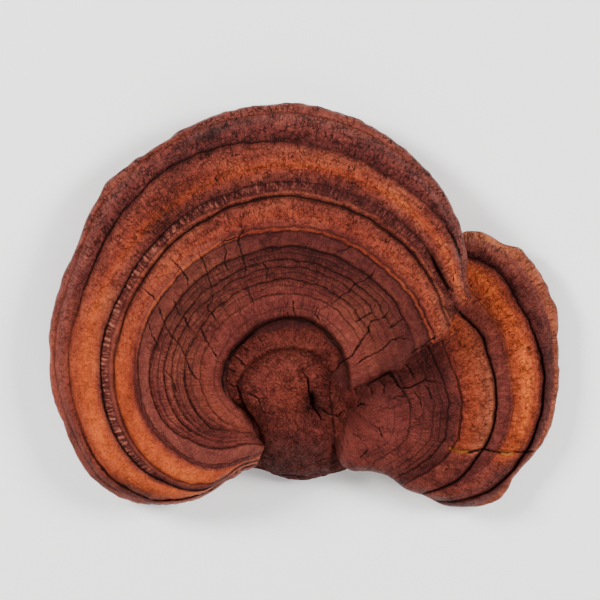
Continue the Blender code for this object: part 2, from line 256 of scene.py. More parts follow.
REACH_OF_CRACK = 1.3  # mm from a crack's path within which its line is drawn
REACH_OF_LINE = 1.4  # and from a growth line
REACH_OF_CUT = 12  # pixels round the box of a cut's path that it may mark
END_STRENGTH = 0.35  # of a cut at its two ends
TAPER = 6  # how fast it gets stronger from there, per share of its length
FAR = 9.0  # mm, off any line
MOST_AWAY = 3.0  # mm from a line, past which its distance isn't told apart


def cut_marks(points: np.ndarray, cuts: Sequence[Cut]) -> tuple[np.ndarray, ...]:
    """How cracks and furrows mark the crust.

    Args:
        points: N x 3 places, mm.
        cuts: the cracks and furrows.

    Returns:
        Depth, darkness, the signed distance to the nearest crack, how strongly its line shows, and
        how much flesh does.
    """
    pixels = VIEW.pixels(points)
    scale = VIEW.mm_per_pixel()
    depth, dark, shows, flesh = np.zeros((4, len(points)))
    line = np.full(len(points), FAR)
    for cut in cuts:
        path = np.array(cut.path, float)
        near = ((pixels > path.min(0) - REACH_OF_CUT) & (pixels < path.max(0) + REACH_OF_CUT)).all(axis=1)
        spot = pixels[near]
        if not len(spot):
            continue
        nearest = np.full(len(spot), np.inf)
        signed = np.zeros(len(spot))
        ends = np.zeros(len(spot))
        for number, (start, end) in enumerate(zip(path, path[1:])):
            way = end - start
            share = np.clip(((spot - start) @ way) / (way @ way), 0, 1)
            off = spot - start - share[:, None] * way
            distance = np.hypot(off[:, 0], off[:, 1]) * scale
            side = np.sign(way[0] * off[:, 1] - way[1] * off[:, 0])
            closer = distance < nearest
            nearest = np.where(closer, distance, nearest)
            signed = np.where(closer, np.where(side == 0, 1, side) * distance, signed)
            along = (number + share) / (len(path) - 1)
            taper = np.clip(TAPER * np.minimum(along, 1 - along) + END_STRENGTH, 0, 1)
            ends = np.where(closer, taper, ends)
        shape = np.exp(-(nearest / cut.width) ** 2) * ends
        depth[near] += shape * cut.depth
        dark[near] = np.maximum(dark[near], shape * cut.dark)
        flesh[near] = np.maximum(flesh[near], shape * cut.bare)
        if cut.crisp:
            wins = nearest < np.abs(line[near])
            line[near] = np.where(wins, signed, line[near])
            shows[near] = np.where(wins, ends * (nearest < REACH_OF_CRACK), shows[near])
    return depth, dark, np.clip(line, -MOST_AWAY, MOST_AWAY), shows, flesh


def patch_tone(points: np.ndarray, patches: Sequence[Patch]) -> np.ndarray:
    """Lightness that patches add at each point, below 0 where they darken it.

    Args:
        points: N x 3 places, mm.
        patches: the patches.

    Returns:
        One value per point.
    """
    pixels = VIEW.pixels(points)
    tone = np.zeros(len(points))
    for patch in patches:
        turn = math.radians(patch.turn)
        off_x, off_y = pixels[:, 0] - patch.x, patch.y - pixels[:, 1]
        along = (off_x * math.cos(turn) + off_y * math.sin(turn)) / patch.wide
        across = (off_y * math.cos(turn) - off_x * math.sin(turn)) / patch.high
        tone += patch.amount * np.exp(-(along ** 2 + across ** 2))
    return tone


# ---- Meshes ----
@dataclass
class Skin:
    """A closed surface under construction: its vertices, its faces and each vertex's marks.

    The marks are attributes of the mesh that its crust is coloured and wrinkled by.
    """

    spots: list[np.ndarray] = field(default_factory=list)
    faces: list[tuple[int, ...]] = field(default_factory=list)
    marks: dict[str, list[np.ndarray]] = field(default_factory=dict)
    count: int = 0

    def put(self, points: np.ndarray, marks: Arrays) -> np.ndarray:
        """Adds vertices.

        Args:
            points: places, mm, in any shape that ends in 3.
            marks: one value per vertex for each attribute.

        Returns:
            The vertices' numbers, in the shape of the points.
        """
        flat = points.reshape(-1, 3)
        self.spots.append(flat)
        for name, values in marks.items():
            self.marks.setdefault(name, []).append(np.asarray(values, float).ravel())
        self.count += len(flat)
        return np.arange(self.count - len(flat), self.count).reshape(points.shape[:-1])

    def strip(self, inner: np.ndarray, outer: np.ndarray, closed: bool) -> None:
        """Joins two rows of vertices with quads.

        Args:
            inner: the first row's numbers.
            outer: the second row's.
            closed: whether they end where they began.
        """
        if closed:
            inner, outer = np.append(inner, inner[0]), np.append(outer, outer[0])
        quads = np.stack([inner[:-1], outer[:-1], outer[1:], inner[1:]], axis=1)
        self.faces.extend(map(tuple, quads.tolist()))

    def sheet(self, points: np.ndarray, marks: Arrays, closed: bool) -> np.ndarray:
        """Adds rows of vertices, each joined to the next.

        Args:
            points: rows x columns x 3 places, mm.
            marks: one value per vertex for each attribute.
            closed: whether each row ends where it began.

        Returns:
            The vertices' numbers, rows x columns.
        """
        rows = self.put(points, marks)
        for inner, outer in zip(rows, rows[1:]):
            self.strip(inner, outer, closed)
        return rows

    def grow(self, loop: np.ndarray, points: np.ndarray, marks: Arrays) -> np.ndarray:
        """Adds a closed row of vertices beyond the last one.

        Args:
            loop: the last row's numbers.
            points: the new row's places, mm.
            marks: its marks.

        Returns:
            The new row's numbers.
        """
        new = self.put(points, marks)
        self.strip(loop, new, closed=True)
        return new

    def point(self, place: Sequence[float], row: np.ndarray, marks: Arrays, closed: bool) -> np.ndarray:
        """Joins a row of vertices with triangles to one new vertex.

        Args:
            place: the new vertex's place, mm.
            row: the row's numbers.
            marks: the row's marks, of which it takes the first.
            closed: whether the row ends where it began.

        Returns:
            The new vertex's number.
        """
        new = self.put(np.array([place]), {name: np.ravel(values)[:1] for name, values in marks.items()})
        if closed:
            row = np.append(row, row[0])
        tips = np.repeat(new, len(row) - 1)
        self.faces.extend(map(tuple, np.stack([tips, row[:-1], row[1:]], axis=1).tolist()))
        return new

    def mesh(self, name: str) -> bpy.types.Mesh:
        """Makes the mesh, in metres.

        Args:
            name: the mesh's name.

        Returns:
            The mesh, shaded smooth, with its attributes.
        """
        mesh = bpy.data.meshes.new(name)
        mesh.from_pydata((np.concatenate(self.spots) * MM).tolist(), [], self.faces)
        mesh.validate()
        for mark, values in self.marks.items():
            layer = mesh.attributes.new(mark, "FLOAT", "POINT")
            layer.data.foreach_set("value", np.concatenate(values).astype(np.float32))
        mesh.shade_smooth()
        return mesh


# ---- Caps ----
@dataclass
class Cap:
    """One ringed fan: its top of growth rings, its rolled margin and its pore side."""

    name: str
    centre: tuple[float, float]  # where its rings grew from
    angles: tuple[float, ...]  # at which the rings' radii are given
    rings: tuple[tuple[float, ...], ...]
    rim: Points  # radius of its outline at each angle
    first_side: Points  # angle of the fan's first side at each radius
    last_side: Points  # and of its last side
    dome: Points  # height of its top at each share of the way to the rim
    under: Points  # and of its pore side
    lift: Points  # how far the margin is off the ground at each angle
    relief: Points  # rise and fall of the top at each place among the rings
    relief_share: Points  # and how much of it there is at each angle
    middle: tuple[float, float]  # where the pore side's loops meet
    lines: tuple[GrowthLine, ...]
    cuts: tuple[Cut, ...]
    patches: tuple[Patch, ...]
    wrinkled: Points  # how much radial wrinkles show at each place among the rings
    wrinkled_reach: Points  # and at each angle
    crazed: Points  # how much fine cracking shows at each place
    crazed_reach: Points  # and at each angle
    scratched: Points  # how rough and scratched the crust is at each place
    scratched_reach: Points  # and at each angle
    scallop: Points  # how far the margin's edge waves in and out at each angle, mm
    wavers: tuple[Waver, ...]
    swells: tuple[Swell, ...]
    first_place: float  # among the rings, of the top's first row
    rows: int
    columns: int
    lift_from: float = 0.4  # share of the way to the rim where the lift begins
    side_overhang: float = 0.8  # mm
    side_roll: Points = ((0, 5), (90, 5))  # width of the roll down to a side at each radius, mm
    side_slope: float = 0.52  # how far it drops per mm of its width
    most_overhang_per_mm: float = 0.16  # how fast it may grow along the margin from a side
    layer_depth: float = 0.35  # of the thin layers that the margin grew in, mm
    layer_wave: float = 23.0  # mm
    scallop_wave: float = 25.0  # mm
    layer_step: tuple[float, float] = (7.0, 0.4)  # mm and seed by which each loop's layers differ
    margin_loops: int = 13
    margin: tuple[Points, Points, Points] = (
        ((0, 0), (0.12, 0.85), (0.4, 1), (0.75, 0.6), (1, 0)),  # share of the overhang
        ((0, 0), (0.4, 0), (0.75, 0.2), (1, 2.2)),  # drawn back, mm
        ((0, 0), (0.12, 0.12), (0.4, 0.4), (0.75, 0.78), (1, 1)),  # share of the way down
    )
    under_loops: int = 15
    tuck: float = 0.8  # below 1, the pore side's loops are further apart inwards
    settling: int = 12  # rounds in which the rows and columns find their places
    trials: int = 4000  # fine places that rows and columns are chosen from
    line_detail: float = 0.9  # how much closer the rows are at a growth line
    line_reach: float = 0.5  # mm past its width within which they are
    ring_width: float = 8.0  # rough distance between two rings, mm
    # how much closer columns are at both sides, and in what share of the way round
    side_detail: tuple[float, float] = (1.2, 0.02)
    first_detail: tuple[float, float] = (0.35, 0.12)  # the same for the first side alone
    stray_ends: float = 0.6  # places from the lip in which its rings stop straying
    swell_covers: float = 4.0  # how soon a swell hides the relief under it
    true_radius: float = 0.65  # share of the mean radius at which distances round the fan are true
    sink: float = 2.5  # how fast the top's marks end down the margin
    pores_from: float = 0.86  # share of the margin's way down where the pores begin
    edge_blur: int = 9  # points over which the edge's direction is evened out

    def ring_radii(self, angle: np.ndarray) -> list[np.ndarray]:
        """Radius of every ring at each angle, from the growing point outwards."""
        rings = [tuple(zip(self.angles, radii)) for radii in self.rings]
        return [np.zeros_like(angle)] + [curve(ring, angle) for ring in rings]

    def radius(self, place: np.ndarray | float, radii: list[np.ndarray]) -> np.ndarray:
        """Radius of a place among the rings.

        Args:
            place: the place, or one for each point.
            radii: all rings' radii at each point.

        Returns:
            The radius at each point.
        """
        total = radii[0]
        for number, (inner, outer) in enumerate(zip(radii, radii[1:])):
            total = total + (outer - inner) * np.clip(place - number, 0, 1)
        return total

    def outward(self, radius: np.ndarray, angle: np.ndarray) -> np.ndarray:
        """Share of the way from the growing point to the rim."""
        return radius / closed_curve(self.rim, angle)

    def raised(self, radius: np.ndarray, angle: np.ndarray) -> np.ndarray:
        """How much higher a point stands because the margin is off the ground there."""
        return closed_curve(self.lift, angle) * smooth_step(self.lift_from, 1, self.outward(radius, angle))

    def underside(self, x: np.ndarray, y: np.ndarray) -> np.ndarray:
        """Height of the pore side."""
        radius, angle = polar(x, y, self.centre)
        return curve(self.under, self.outward(radius, angle)) + self.raised(radius, angle)

    def places(self) -> np.ndarray:
        """Places the top's rows closest together at the growth lines.

        Returns:
            Each row's place among the rings.
        """
        fine = np.linspace(self.first_place, len(self.rings), self.trials)
        middle = np.array([np.mean(self.angles)])
        radii = self.ring_radii(middle)
        spacing = np.array([outer[0] - inner[0] for inner, outer in zip(radii, radii[1:])])
        weight = np.interp(fine - 0.5, np.arange(len(spacing)), spacing)
        for line in self.lines:
            near = np.exp(-((fine - line.place) * self.ring_width / (self.line_reach + line.width)) ** 2)
            weight = weight * (1 + self.line_detail * min(1, abs(line.height)) * near)
        return even_steps(fine, weight, self.rows)

    def shares(self) -> np.ndarray:
        """Places the top's columns closest together at the fan's two sides.

        Returns:
            Each column's share of the way round.
        """
        fine = np.linspace(0, 1, self.trials // 2)
        more, reach = self.side_detail
        weight = 1 + more * (np.exp(-fine / reach) + np.exp(-(1 - fine) / reach))
        more, reach = self.first_detail
        return even_steps(fine, weight + more * np.exp(-fine / reach), self.columns)

    def grid(self) -> tuple[np.ndarray, np.ndarray, np.ndarray, list[np.ndarray]]:
        """Lays the top's rows along its growth rings, from side to side.

        Returns:
            Place, radius and angle of every point, and all rings' radii there.
        """
        place = np.repeat(self.places()[:, None], self.columns, axis=1)
        share = np.repeat(self.shares()[None, :], self.rows, axis=0)
        angle = np.zeros_like(place)
        for _ in range(self.settling):
            radii = self.ring_radii(angle)
            radius = self.radius(place, radii)
            first = curve(self.first_side, radius)
            angle = first + (curve(self.last_side, radius) - first) * share
        return place, radius, angle, radii

    def line_relief(
        self, radius: np.ndarray, angle: np.ndarray, radii: list[np.ndarray]
    ) -> tuple[np.ndarray, Arrays]:
        """Height of the growth lines at each point, and the marks of the dark ones.

        Args:
            radius: radius of each point, before it strays.
            angle: its angle.
            radii: radius of every ring at its angle.

        Returns:
            The height, and the dark, line and line_shows marks.
        """
        height, dark, shows = np.zeros((3, *radius.shape))
        nearest = np.full_like(radius, FAR)
        for line in self.lines:
            ring = self.radius(line.place, radii)
            step = np.radians(np.gradient(angle, axis=1)) * ring
            slant = 1 / np.hypot(1, np.gradient(ring, axis=1) / step)
            away = (radius - ring) * slant - line.offset
            shape = np.exp(-(away / line.width) ** 2)
            reach = curve(line.reach, angle)
            height += shape * line.height * reach
            dark = np.maximum(dark, shape * line.dark * reach)
            wins = (np.abs(away) < np.abs(nearest)) & (np.abs(away) < REACH_OF_LINE) & (line.dark > 0)
            nearest = np.where(wins, away, nearest)
            shows = np.where(wins, line.dark * reach, shows)
        return height, {"dark": dark, "line": np.clip(nearest, -MOST_AWAY, MOST_AWAY), "line_shows": shows}

    def strayed(self, place: np.ndarray, radius: np.ndarray, angle: np.ndarray) -> np.ndarray:
        """Lets growth rings stray in and out.

        Args:
            place: place of each point among the rings.
            radius: its radius.
            angle: its angle.

        Returns:
            The radius that it strays to.
        """
        around = np.radians(angle) * radius
        settles = smooth_step(0, self.stray_ends, len(self.rings) - place)
        for number, waver in enumerate(self.wavers):
            near = np.exp(-((place - waver.place) / waver.spread) ** 2)
            radius = radius + waver.amount * settles * near * ripple(around, waver.wave, number + 1)
        return radius

    def top(self) -> tuple[np.ndarray, Arrays]:
        """Points of the ringed top and the marks on them.

        Returns:
            Rows x columns x 3 places, and one rows x columns array for each mark.
        """
        place, radius, angle, radii = self.grid()
        height = curve(self.dome, self.outward(radius, angle)) + self.raised(radius, angle)
        crowd = curve(self.relief_share, angle)
        rise, marks = self.line_relief(radius, angle, radii)
        for swell in self.swells:
            reach, share = curve(swell.reach, angle), swell.share(place)
            height = height + swell.height * reach * share
            crowd = crowd * (1 - reach * np.minimum(self.swell_covers * share, 1))
        height = height + (curve(self.relief, place) + rise) * crowd
        to_side = np.minimum(angle - curve(self.first_side, radius), curve(self.last_side, radius) - angle)
        roll = curve(self.side_roll, radius)
        near = 1 - np.clip(np.radians(to_side) * radius / roll, 0, 1)
        height = height - self.side_slope * roll * near ** 2
        strayed = self.strayed(place, radius, angle)
        turn = np.radians(angle)
        x = self.centre[0] + strayed * np.cos(turn)
        y = self.centre[1] + strayed * np.sin(turn)
        flat = np.stack([x, y, height], axis=2).reshape(-1, 3)
        depth, cut_dark, crack, shows, flesh = cut_marks(flat, self.cuts)
        height = height - depth.reshape(height.shape)
        marks |= {
            "ring": place,
            "around": turn * self.mean_radius(),
            "across": np.zeros_like(place),
            "out": radius,
            "dark": np.maximum(marks["dark"] * np.sqrt(crowd), cut_dark.reshape(height.shape)),
            "crack": crack,
            "crack_shows": shows,
            "flesh": flesh,
            "tone": patch_tone(flat, self.patches),
            "wrinkled": curve(self.wrinkled, place) * curve(self.wrinkled_reach, angle),
            "crazed": curve(self.crazed, place) * curve(self.crazed_reach, angle),
            "scratched": curve(self.scratched, place) * curve(self.scratched_reach, angle),
            "pore_side": np.zeros_like(place),
        }
        return np.stack([x, y, height], axis=2), {
            name: value.reshape(place.shape) for name, value in marks.items()
        }

    def mean_radius(self) -> float:
        """Radius at which distances round the fan are true, mm."""
        return self.true_radius * float(np.mean([radius for _, radius in self.rim]))

    def skin(self) -> Skin:
        """Builds the closed surface.

        Returns:
            The top, the margin and the pore side.
        """
        skin = Skin()
        points, marks = self.top()
        rows = skin.sheet(points, marks, closed=False)
        pole = skin.point((*self.centre, points[0, :, 2].mean()), rows[0], marks, closed=False)
        edge = np.concatenate([pole, rows[:, 0], rows[-1, 1:], rows[-2::-1, -1]])
        spots = np.concatenate(skin.spots)[edge]
        edge_marks = {name: np.concatenate(values)[edge] for name, values in skin.marks.items()}
        self.close_below(skin, edge, spots, edge_marks)
        return skin

    def overhang(self, spots: np.ndarray) -> np.ndarray:
        """How far the margin bulges out past the top's edge.

        Args:
            spots: places of the points round that edge, mm.

        Returns:
            The overhang at each of them, mm.
        """
        radius, angle = polar(spots[:, 0], spots[:, 1], self.centre)
        over = closed_curve(self.rim, angle) - radius
        lip = slice(self.rows + 1, self.rows + self.columns)
        along = np.linspace(0, 1, len(over[lip]))
        span = np.radians(self.last_side[-1][1] - self.first_side[-1][1]) * radius[lip]
        most = self.side_overhang + np.minimum(along, 1 - along) * span * self.most_overhang_per_mm
        result = np.full(len(spots), self.side_overhang)
        scallop = closed_curve(self.scallop, angle[lip]) * ripple(
            np.radians(angle[lip]) * radius[lip], self.scallop_wave, len(self.name)
        )
        result[lip] = np.clip(np.minimum(over[lip], most) + scallop, self.side_overhang, None)
        return result

    def close_below(self, skin: Skin, edge: np.ndarray, spots: np.ndarray, marks: Arrays) -> None:
        """Adds the margin's loops and the pore side below the top's edge.

        Args:
            skin: the surface so far.
            edge: numbers of the vertices round the top's edge.
            spots: their places, mm.
            marks: their marks.
        """
        ends = np.concatenate([spots[-self.edge_blur:], spots, spots[:self.edge_blur]])
        along = ends[2 * self.edge_blur:] - ends[:-2 * self.edge_blur]
        out = np.stack([along[:, 1], -along[:, 0]], axis=1)
        out /= np.linalg.norm(out, axis=1, keepdims=True)
        middle = np.array(self.middle)
        inward = middle - spots[:, :2]
        inward /= np.linalg.norm(inward, axis=1, keepdims=True)
        overhang = self.overhang(spots)
        radius, angle = polar(spots[:, 0], spots[:, 1], self.centre)
        around = np.unwrap(np.radians(angle)) * radius
        low = spots[:, :2] + inward * self.margin[1][-1][1]
        bottom = self.underside(low[:, 0], low[:, 1])
        loop = edge
        fade = dict(marks)
        at_lip = smooth_step(len(self.rings) - 1, len(self.rings), marks["ring"])
        for step in range(1, self.margin_loops + 1):
            share = np.array(step / self.margin_loops)
            bulge, back, down = (float(curve(part, share)) for part in self.margin)
            shift, seed = (step * part for part in self.layer_step)
            layer = ripple(around + shift, self.layer_wave, seed) * math.sin(math.pi * share)
            points = spots.copy()
            bulge = overhang * bulge + self.layer_depth * layer
            points[:, :2] += out * bulge[:, None] + inward * back
            points[:, 2] += (bottom - spots[:, 2]) * down
            fade["ring"] = marks["ring"] + float(share) * at_lip
            fade["out"] = marks["out"] + down * (spots[:, 2] - bottom)
            for name in ("dark", "crack_shows", "line_shows", "flesh", "tone", "wrinkled"):
                fade[name] = marks[name] * max(0.0, 1 - self.sink * float(share))
            fade["pore_side"] = np.full(len(edge), float(smooth_step(self.pores_from, 1, share)))
            loop = skin.grow(loop, points, fade)
        outer = points
        fade["pore_side"] = np.ones(len(edge))
        for step in range(1, self.under_loops + 1):
            share = (1 - step / (self.under_loops + 1)) ** self.tuck
            points = outer.copy()
            points[:, :2] = middle + (outer[:, :2] - middle) * share
            points[:, 2] = self.underside(points[:, 0], points[:, 1])
            loop = skin.grow(loop, points, fade)
        floor = self.underside(middle[:1], middle[1:])[0]
        skin.point((*middle, floor), loop[::-1], fade, closed=True)


# ---- Stem ----
@dataclass(frozen=True)
class Fold:
    """A round valley in the stem's top, along a path seen from above, mm."""

    path: Points
    half_width: float
    depth: float

    def depth_at(self, x: np.ndarray, y: np.ndarray) -> np.ndarray:
        """Depth of the valley.

        Args:
            x: the points' x, mm.
            y: their y.

        Returns:
            The depth at each of them, mm.
        """
        nearest = np.full_like(x, np.inf)
        for (x1, y1), (x2, y2) in zip(self.path, self.path[1:]):
            dx, dy = x2 - x1, y2 - y1
            along = np.clip(((x - x1) * dx + (y - y1) * dy) / (dx * dx + dy * dy), 0, 1)
            nearest = np.minimum(nearest, np.hypot(x - x1 - along * dx, y - y1 - along * dy))
        return self.depth * (1 - np.clip(nearest / self.half_width, 0, 1) ** 2) ** 2


@dataclass
class Stem:
    """The knob that both caps grew from, and the leaning stem below it, down to its flat cut."""

    name: str
    centre: tuple[float, float]
    outline: Points  # radius of its outline at each angle
    edge: Points  # height where the top meets that outline
    crown: float  # height of the knob
    knob_power: float  # the higher, the flatter the knob's top
    foot_power: float  # the same for the side that leans out
    spread_power: float  # the higher, the sooner the side turns straight down
    folds: tuple[Fold, ...]
    cut_centre: tuple[float, float]
    cut_radii: tuple[float, float]
    wrinkle_centre: tuple[float, float]
    cuts: tuple[Cut, ...]
    patches: tuple[Patch, ...]
    furrow_reach: Points  # how dark the painted shade in the furrow round the knob is at each angle
    ridge: Points  # height of the leaning stem's back at each y, mm
    back: Points  # x of that back
    half_width: Points  # of the leaning stem
    flank_drop: float = 10.0  # of the leaning stem's flank below its back, mm
    flank_power: float = 2.6
    most_flank: float = 1.2  # half widths from the back past which it falls no further
    column_until: float = 0.84  # share of the way out where the leaning stem's form starts to end
    edge_from: float = 0.72  # share of the way out where the slopes start to follow the edge
    furrow_share: tuple[float, float] = (0.92, 0.995)  # and those between which its furrow is darkened by painted shade
    wrinkled: float = 0.35
    crazed: float = 0.65
    row_power: float = 0.85  # below 1, the rows are closer together outwards
    dirt_power: int = 6  # the higher, the sooner the dirt and painted shade of the top end down the side
    side_shade: float = 0.15  # how much darker the side is at the ground
    cut_shares: tuple[float, float] = (0.995, 0.055)  # radius of the cut's first and last loop
    column_from: tuple[float, float] = (-36.0, -50.0)  # y between which the knob turns into the stem
    plain_radius: float = 13.0  # round the knob's middle, within which its wrinkles run any way, mm
    wrinkle_draw: float = 0.5  # how much they are drawn out past it
    pattern_draw: float = 0.35  # how much finer marks are drawn out down its slopes
    edge_blur: float = 32.0  # degrees over which the top's slopes run into each other
    rows: int = 132
    side_length: float = 30.0  # of the stem's side, mm
    side_rows: int = 44
    cut_loops: int = 10
    columns: int = 400

    def drawn_out(self, x: np.ndarray, y: np.ndarray) -> Arrays:
        """Draws places together outwards, so that patterns on them stretch to radial wrinkles.

        Args:
            x: the points' x, mm.
            y: their y.

        Returns:
            The around and across marks.
        """
        off_x, off_y = x - self.wrinkle_centre[0], y - self.wrinkle_centre[1]
        radius = np.maximum(np.hypot(off_x, off_y), 1e-6)
        past = np.maximum(radius - self.plain_radius, 0)
        share = (radius - past * self.wrinkle_draw) / radius
        return {"around": off_x * share, "across": off_y * share}

    def skin(self) -> Skin:
        """Builds the closed surface.

        Returns:
            The top, the side and the cut face.
        """
        skin = Skin()
        angle = np.arange(self.columns) * 360 / self.columns
        share = np.linspace(0, 1, self.rows + 1)[1:, None] ** self.row_power
        radius = closed_curve(self.outline, angle)[None, :] * share
        turn = np.radians(angle)
        x = self.centre[0] + radius * np.cos(turn)
        y = self.centre[1] + radius * np.sin(turn)
        edge = closed_curve(self.edge, angle)
        power = self.foot_power + (self.knob_power - self.foot_power) * (1 + np.sin(turn)) / 2
        foot = edge + (self.blurred(edge) - edge) * (1 - smooth_step(self.edge_from, 1, share))
        height = foot + (self.crown - foot) * (1 - share ** power)
        leaning = smooth_step(*self.column_from, y) * (1 - smooth_step(self.column_until, 1, share))
        height = height + (self.column(x, y) - height) * leaning
        for fold in self.folds:
            height = height - fold.depth_at(x, y)
        flat = np.stack([x, y, height], axis=2).reshape(-1, 3)
        depth, dark, line, shows, flesh = cut_marks(flat, self.cuts)
        height = height - depth.reshape(height.shape)
        # painted shade in the furrow round the knob
        furrow = closed_curve(self.furrow_reach, angle) * smooth_step(*self.furrow_share, share)
        marks = self.drawn_out(x, y) | {
            "out": self.pattern_draw * (self.crown - height),
            "ring": np.repeat(share, self.columns, axis=1),
            "dark": np.maximum(dark.reshape(height.shape), furrow),
            "line": np.full_like(height, FAR),
            "line_shows": np.zeros_like(height),
            "crack": line,
            "crack_shows": shows,
            "flesh": flesh,
            "tone": patch_tone(flat, self.patches),
            "wrinkled": np.full_like(height, self.wrinkled),
            "crazed": np.full_like(height, self.crazed),
            "scratched": np.ones_like(height),
            "pore_side": np.zeros_like(height),
        }
        rows = skin.sheet(np.stack([x, y, height], axis=2), marks, closed=True)
        skin.point((*self.centre, height[0].mean()), rows[0], marks, closed=True)
        rim = np.stack([x[-1], y[-1], height[-1]], axis=1)
        rim_marks = {name: value.reshape(-1, self.columns)[-1] for name, value in marks.items()}
        self.close_below(skin, rows[-1], rim, rim_marks, turn)
        return skin

    def column(self, x: np.ndarray, y: np.ndarray) -> np.ndarray:
        """Height of the leaning stem below its knob."""
        away = np.abs(x - curve(self.back, y)) / curve(self.half_width, y)
        return curve(self.ridge, y) - self.flank_drop * np.minimum(away, self.most_flank) ** self.flank_power

    def blurred(self, edge: np.ndarray) -> np.ndarray:
        """Evens out heights round the stem.

        Args:
            edge: height of the edge at each column.

        Returns:
            The evened heights.
        """
        steps = np.arange(self.columns)
        away = np.minimum(steps, self.columns - steps) * 360 / self.columns
        weight = np.exp(-(away / self.edge_blur) ** 2)
        return np.real(np.fft.ifft(np.fft.fft(edge) * np.fft.fft(weight / weight.sum())))

    def close_below(
        self, skin: Skin, loop: np.ndarray, rim: np.ndarray, marks: Arrays, turn: np.ndarray
    ) -> None:
        """Adds the stem's side and the flat cut that it stands on.

        Args:
            skin: the surface so far.
            loop: numbers of the vertices round the top's edge.
            rim: their places, mm.
            marks: their marks.
            turn: the angle of each round the foot, in radians.
        """
        foot = np.stack([
            self.cut_centre[0] + self.cut_radii[0] * np.cos(turn),
            self.cut_centre[1] + self.cut_radii[1] * np.sin(turn),
            turn * 0,
        ], axis=1)
        for share in np.linspace(0, 1, self.side_rows + 1)[1:]:
            points = rim + (foot - rim) * share
            points[:, :2] = foot[:, :2] + (rim - foot)[:, :2] * (1 - share) ** self.spread_power
            side = marks | {
                "ring": marks["ring"] + share,
                "out": marks["out"] + self.pattern_draw * share * self.side_length,
                # the top's dirt and painted shade fade down the side
                "dark": marks["dark"] * (1 - share) ** self.dirt_power,
                "tone": marks["tone"] * (1 - share) - self.side_shade * share,
            }
            loop = skin.grow(loop, points, side)
        face = side | {"pore_side": np.ones_like(turn), "dark": turn * 0, "wrinkled": turn * 0}
        for share in np.linspace(*self.cut_shares, self.cut_loops):
            points = foot.copy()
            points[:, :2] = self.cut_centre + (foot[:, :2] - self.cut_centre) * share
            loop = skin.grow(loop, points, face)
        skin.point((*self.cut_centre, 0.0), loop[::-1], face, closed=True)


# ---- Nodes and patterns ----
Socket = bpy.types.NodeSocket
Value = float | int | bool | str | tuple | Socket


def linear(colour: str) -> tuple[float, float, float, float]:
    """An sRGB hex colour, such as "#7a3324", as linear red, green, blue and alpha."""
    parts = [int(colour[at:at + 2], 16) / 255 for at in (1, 3, 5)]
    return (*[part / 12.92 if part <= 0.04045 else ((part + 0.055) / 1.055) ** 2.4 for part in parts], 1.0)


@dataclass(frozen=True)
class Kind:
    """A kind of node: its type and settings, its inputs in the order they are given in, its output."""

    node: str
    settings: dict[str, str] = field(default_factory=dict)
    inputs: Sequence[int | str] = (0, 1, 2, 3, 4)
    output: int | str = 0


# MIX: share, colour, colour over it. RANGE: value, low, high, and the values that low and high become.
NOISE = Kind("ShaderNodeTexNoise", inputs=("Vector", "Scale", "Detail", "Roughness", "Distortion"))
NOISE_VECTOR = Kind("ShaderNodeTexNoise", inputs=NOISE.inputs, output="Color")
CELLS = Kind("ShaderNodeTexVoronoi", inputs=("Vector", "Scale"), output="Distance")
RANGE = Kind("ShaderNodeMapRange")
SMOOTH_RANGE = Kind("ShaderNodeMapRange", {"interpolation_type": "SMOOTHSTEP"})
MIX = Kind("ShaderNodeMix", {"data_type": "RGBA"}, (0, 6, 7), 2)
RAMP = Kind("ShaderNodeValToRGB", output="Color")
BUMP = Kind("ShaderNodeBump", inputs=("Height", "Distance", "Strength"))
VECTOR = Kind("ShaderNodeVectorMath")
SCALED = Kind("ShaderNodeVectorMath", {"operation": "SCALE"}, (0, "Scale"))
OWN_SPACE = Kind("ShaderNodeTexCoord", output="Object")
PAINT = Kind("GeometryNodeSetMaterial", inputs=("Geometry", "Material", "Selection"))


def feed(tree: bpy.types.NodeTree, node: bpy.types.Node, inputs: dict[int | str, Value]) -> None:
    """Sets a node's inputs, or links them to the outputs that feed them.

    Args:
        tree: the node tree.
        node: the node.
        inputs: a value or an output for each input, by name or number.
    """
    for key, value in inputs.items():
        if isinstance(value, Socket):
            tree.links.new(value, node.inputs[key])
        else:
            node.inputs[key].default_value = value


def add(
    tree: bpy.types.NodeTree, kind: Kind | str, inputs: dict[str, Value] | tuple[Value, ...] = (),
    **settings: Value,
) -> Socket:
    """Adds a node with its settings and links.

    Args:
        tree: the node tree.
        kind: the kind of node, a type's name, or the operation of a Math node.
        inputs: a value, or the output that feeds it, for each input by name or in the kind's order.
        settings: the node's properties; stops holds a colour ramp's (place, hex colour) pairs.

    Returns:
        The wanted output, or None where the node has none.
    """
    if isinstance(kind, str):
        kind = Kind("ShaderNodeMath", {"operation": kind}) if kind.isupper() else Kind(kind)
    node = tree.nodes.new(kind.node)
    for number, (place, colour) in enumerate(settings.pop("stops", ())):
        elements = node.color_ramp.elements
        element = elements[number] if number < 2 else elements.new(place)
        element.position = place
        element.color = linear(colour)
    for name, value in (kind.settings | settings).items():
        setattr(node, name, value)
    feed(tree, node, inputs if isinstance(inputs, dict) else dict(zip(kind.inputs, inputs)))
    return node.outputs[kind.output] if node.outputs else None


def new_material(name: str) -> tuple[bpy.types.Material, bpy.types.NodeTree, bpy.types.Node]:
    """Makes a material that holds only a shader.

    Args:
        name: the material's name.

    Returns:
        The material, its node tree and the shader.
    """
    material = bpy.data.materials.new(name)
    material.use_nodes = True
    return material, material.node_tree, material.node_tree.nodes["Principled BSDF"]


PLATE = 4.6  # mm, size of the plates between the inner zone's cracks
PLATE_CRACK = 0.36  # mm, width of those cracks
PLATE_SEED = 1.5


class Tree(Enum):
    """Kinds of node tree that a pattern is drawn in."""

    COLOUR = "material"
    SHAPE = "geometry"


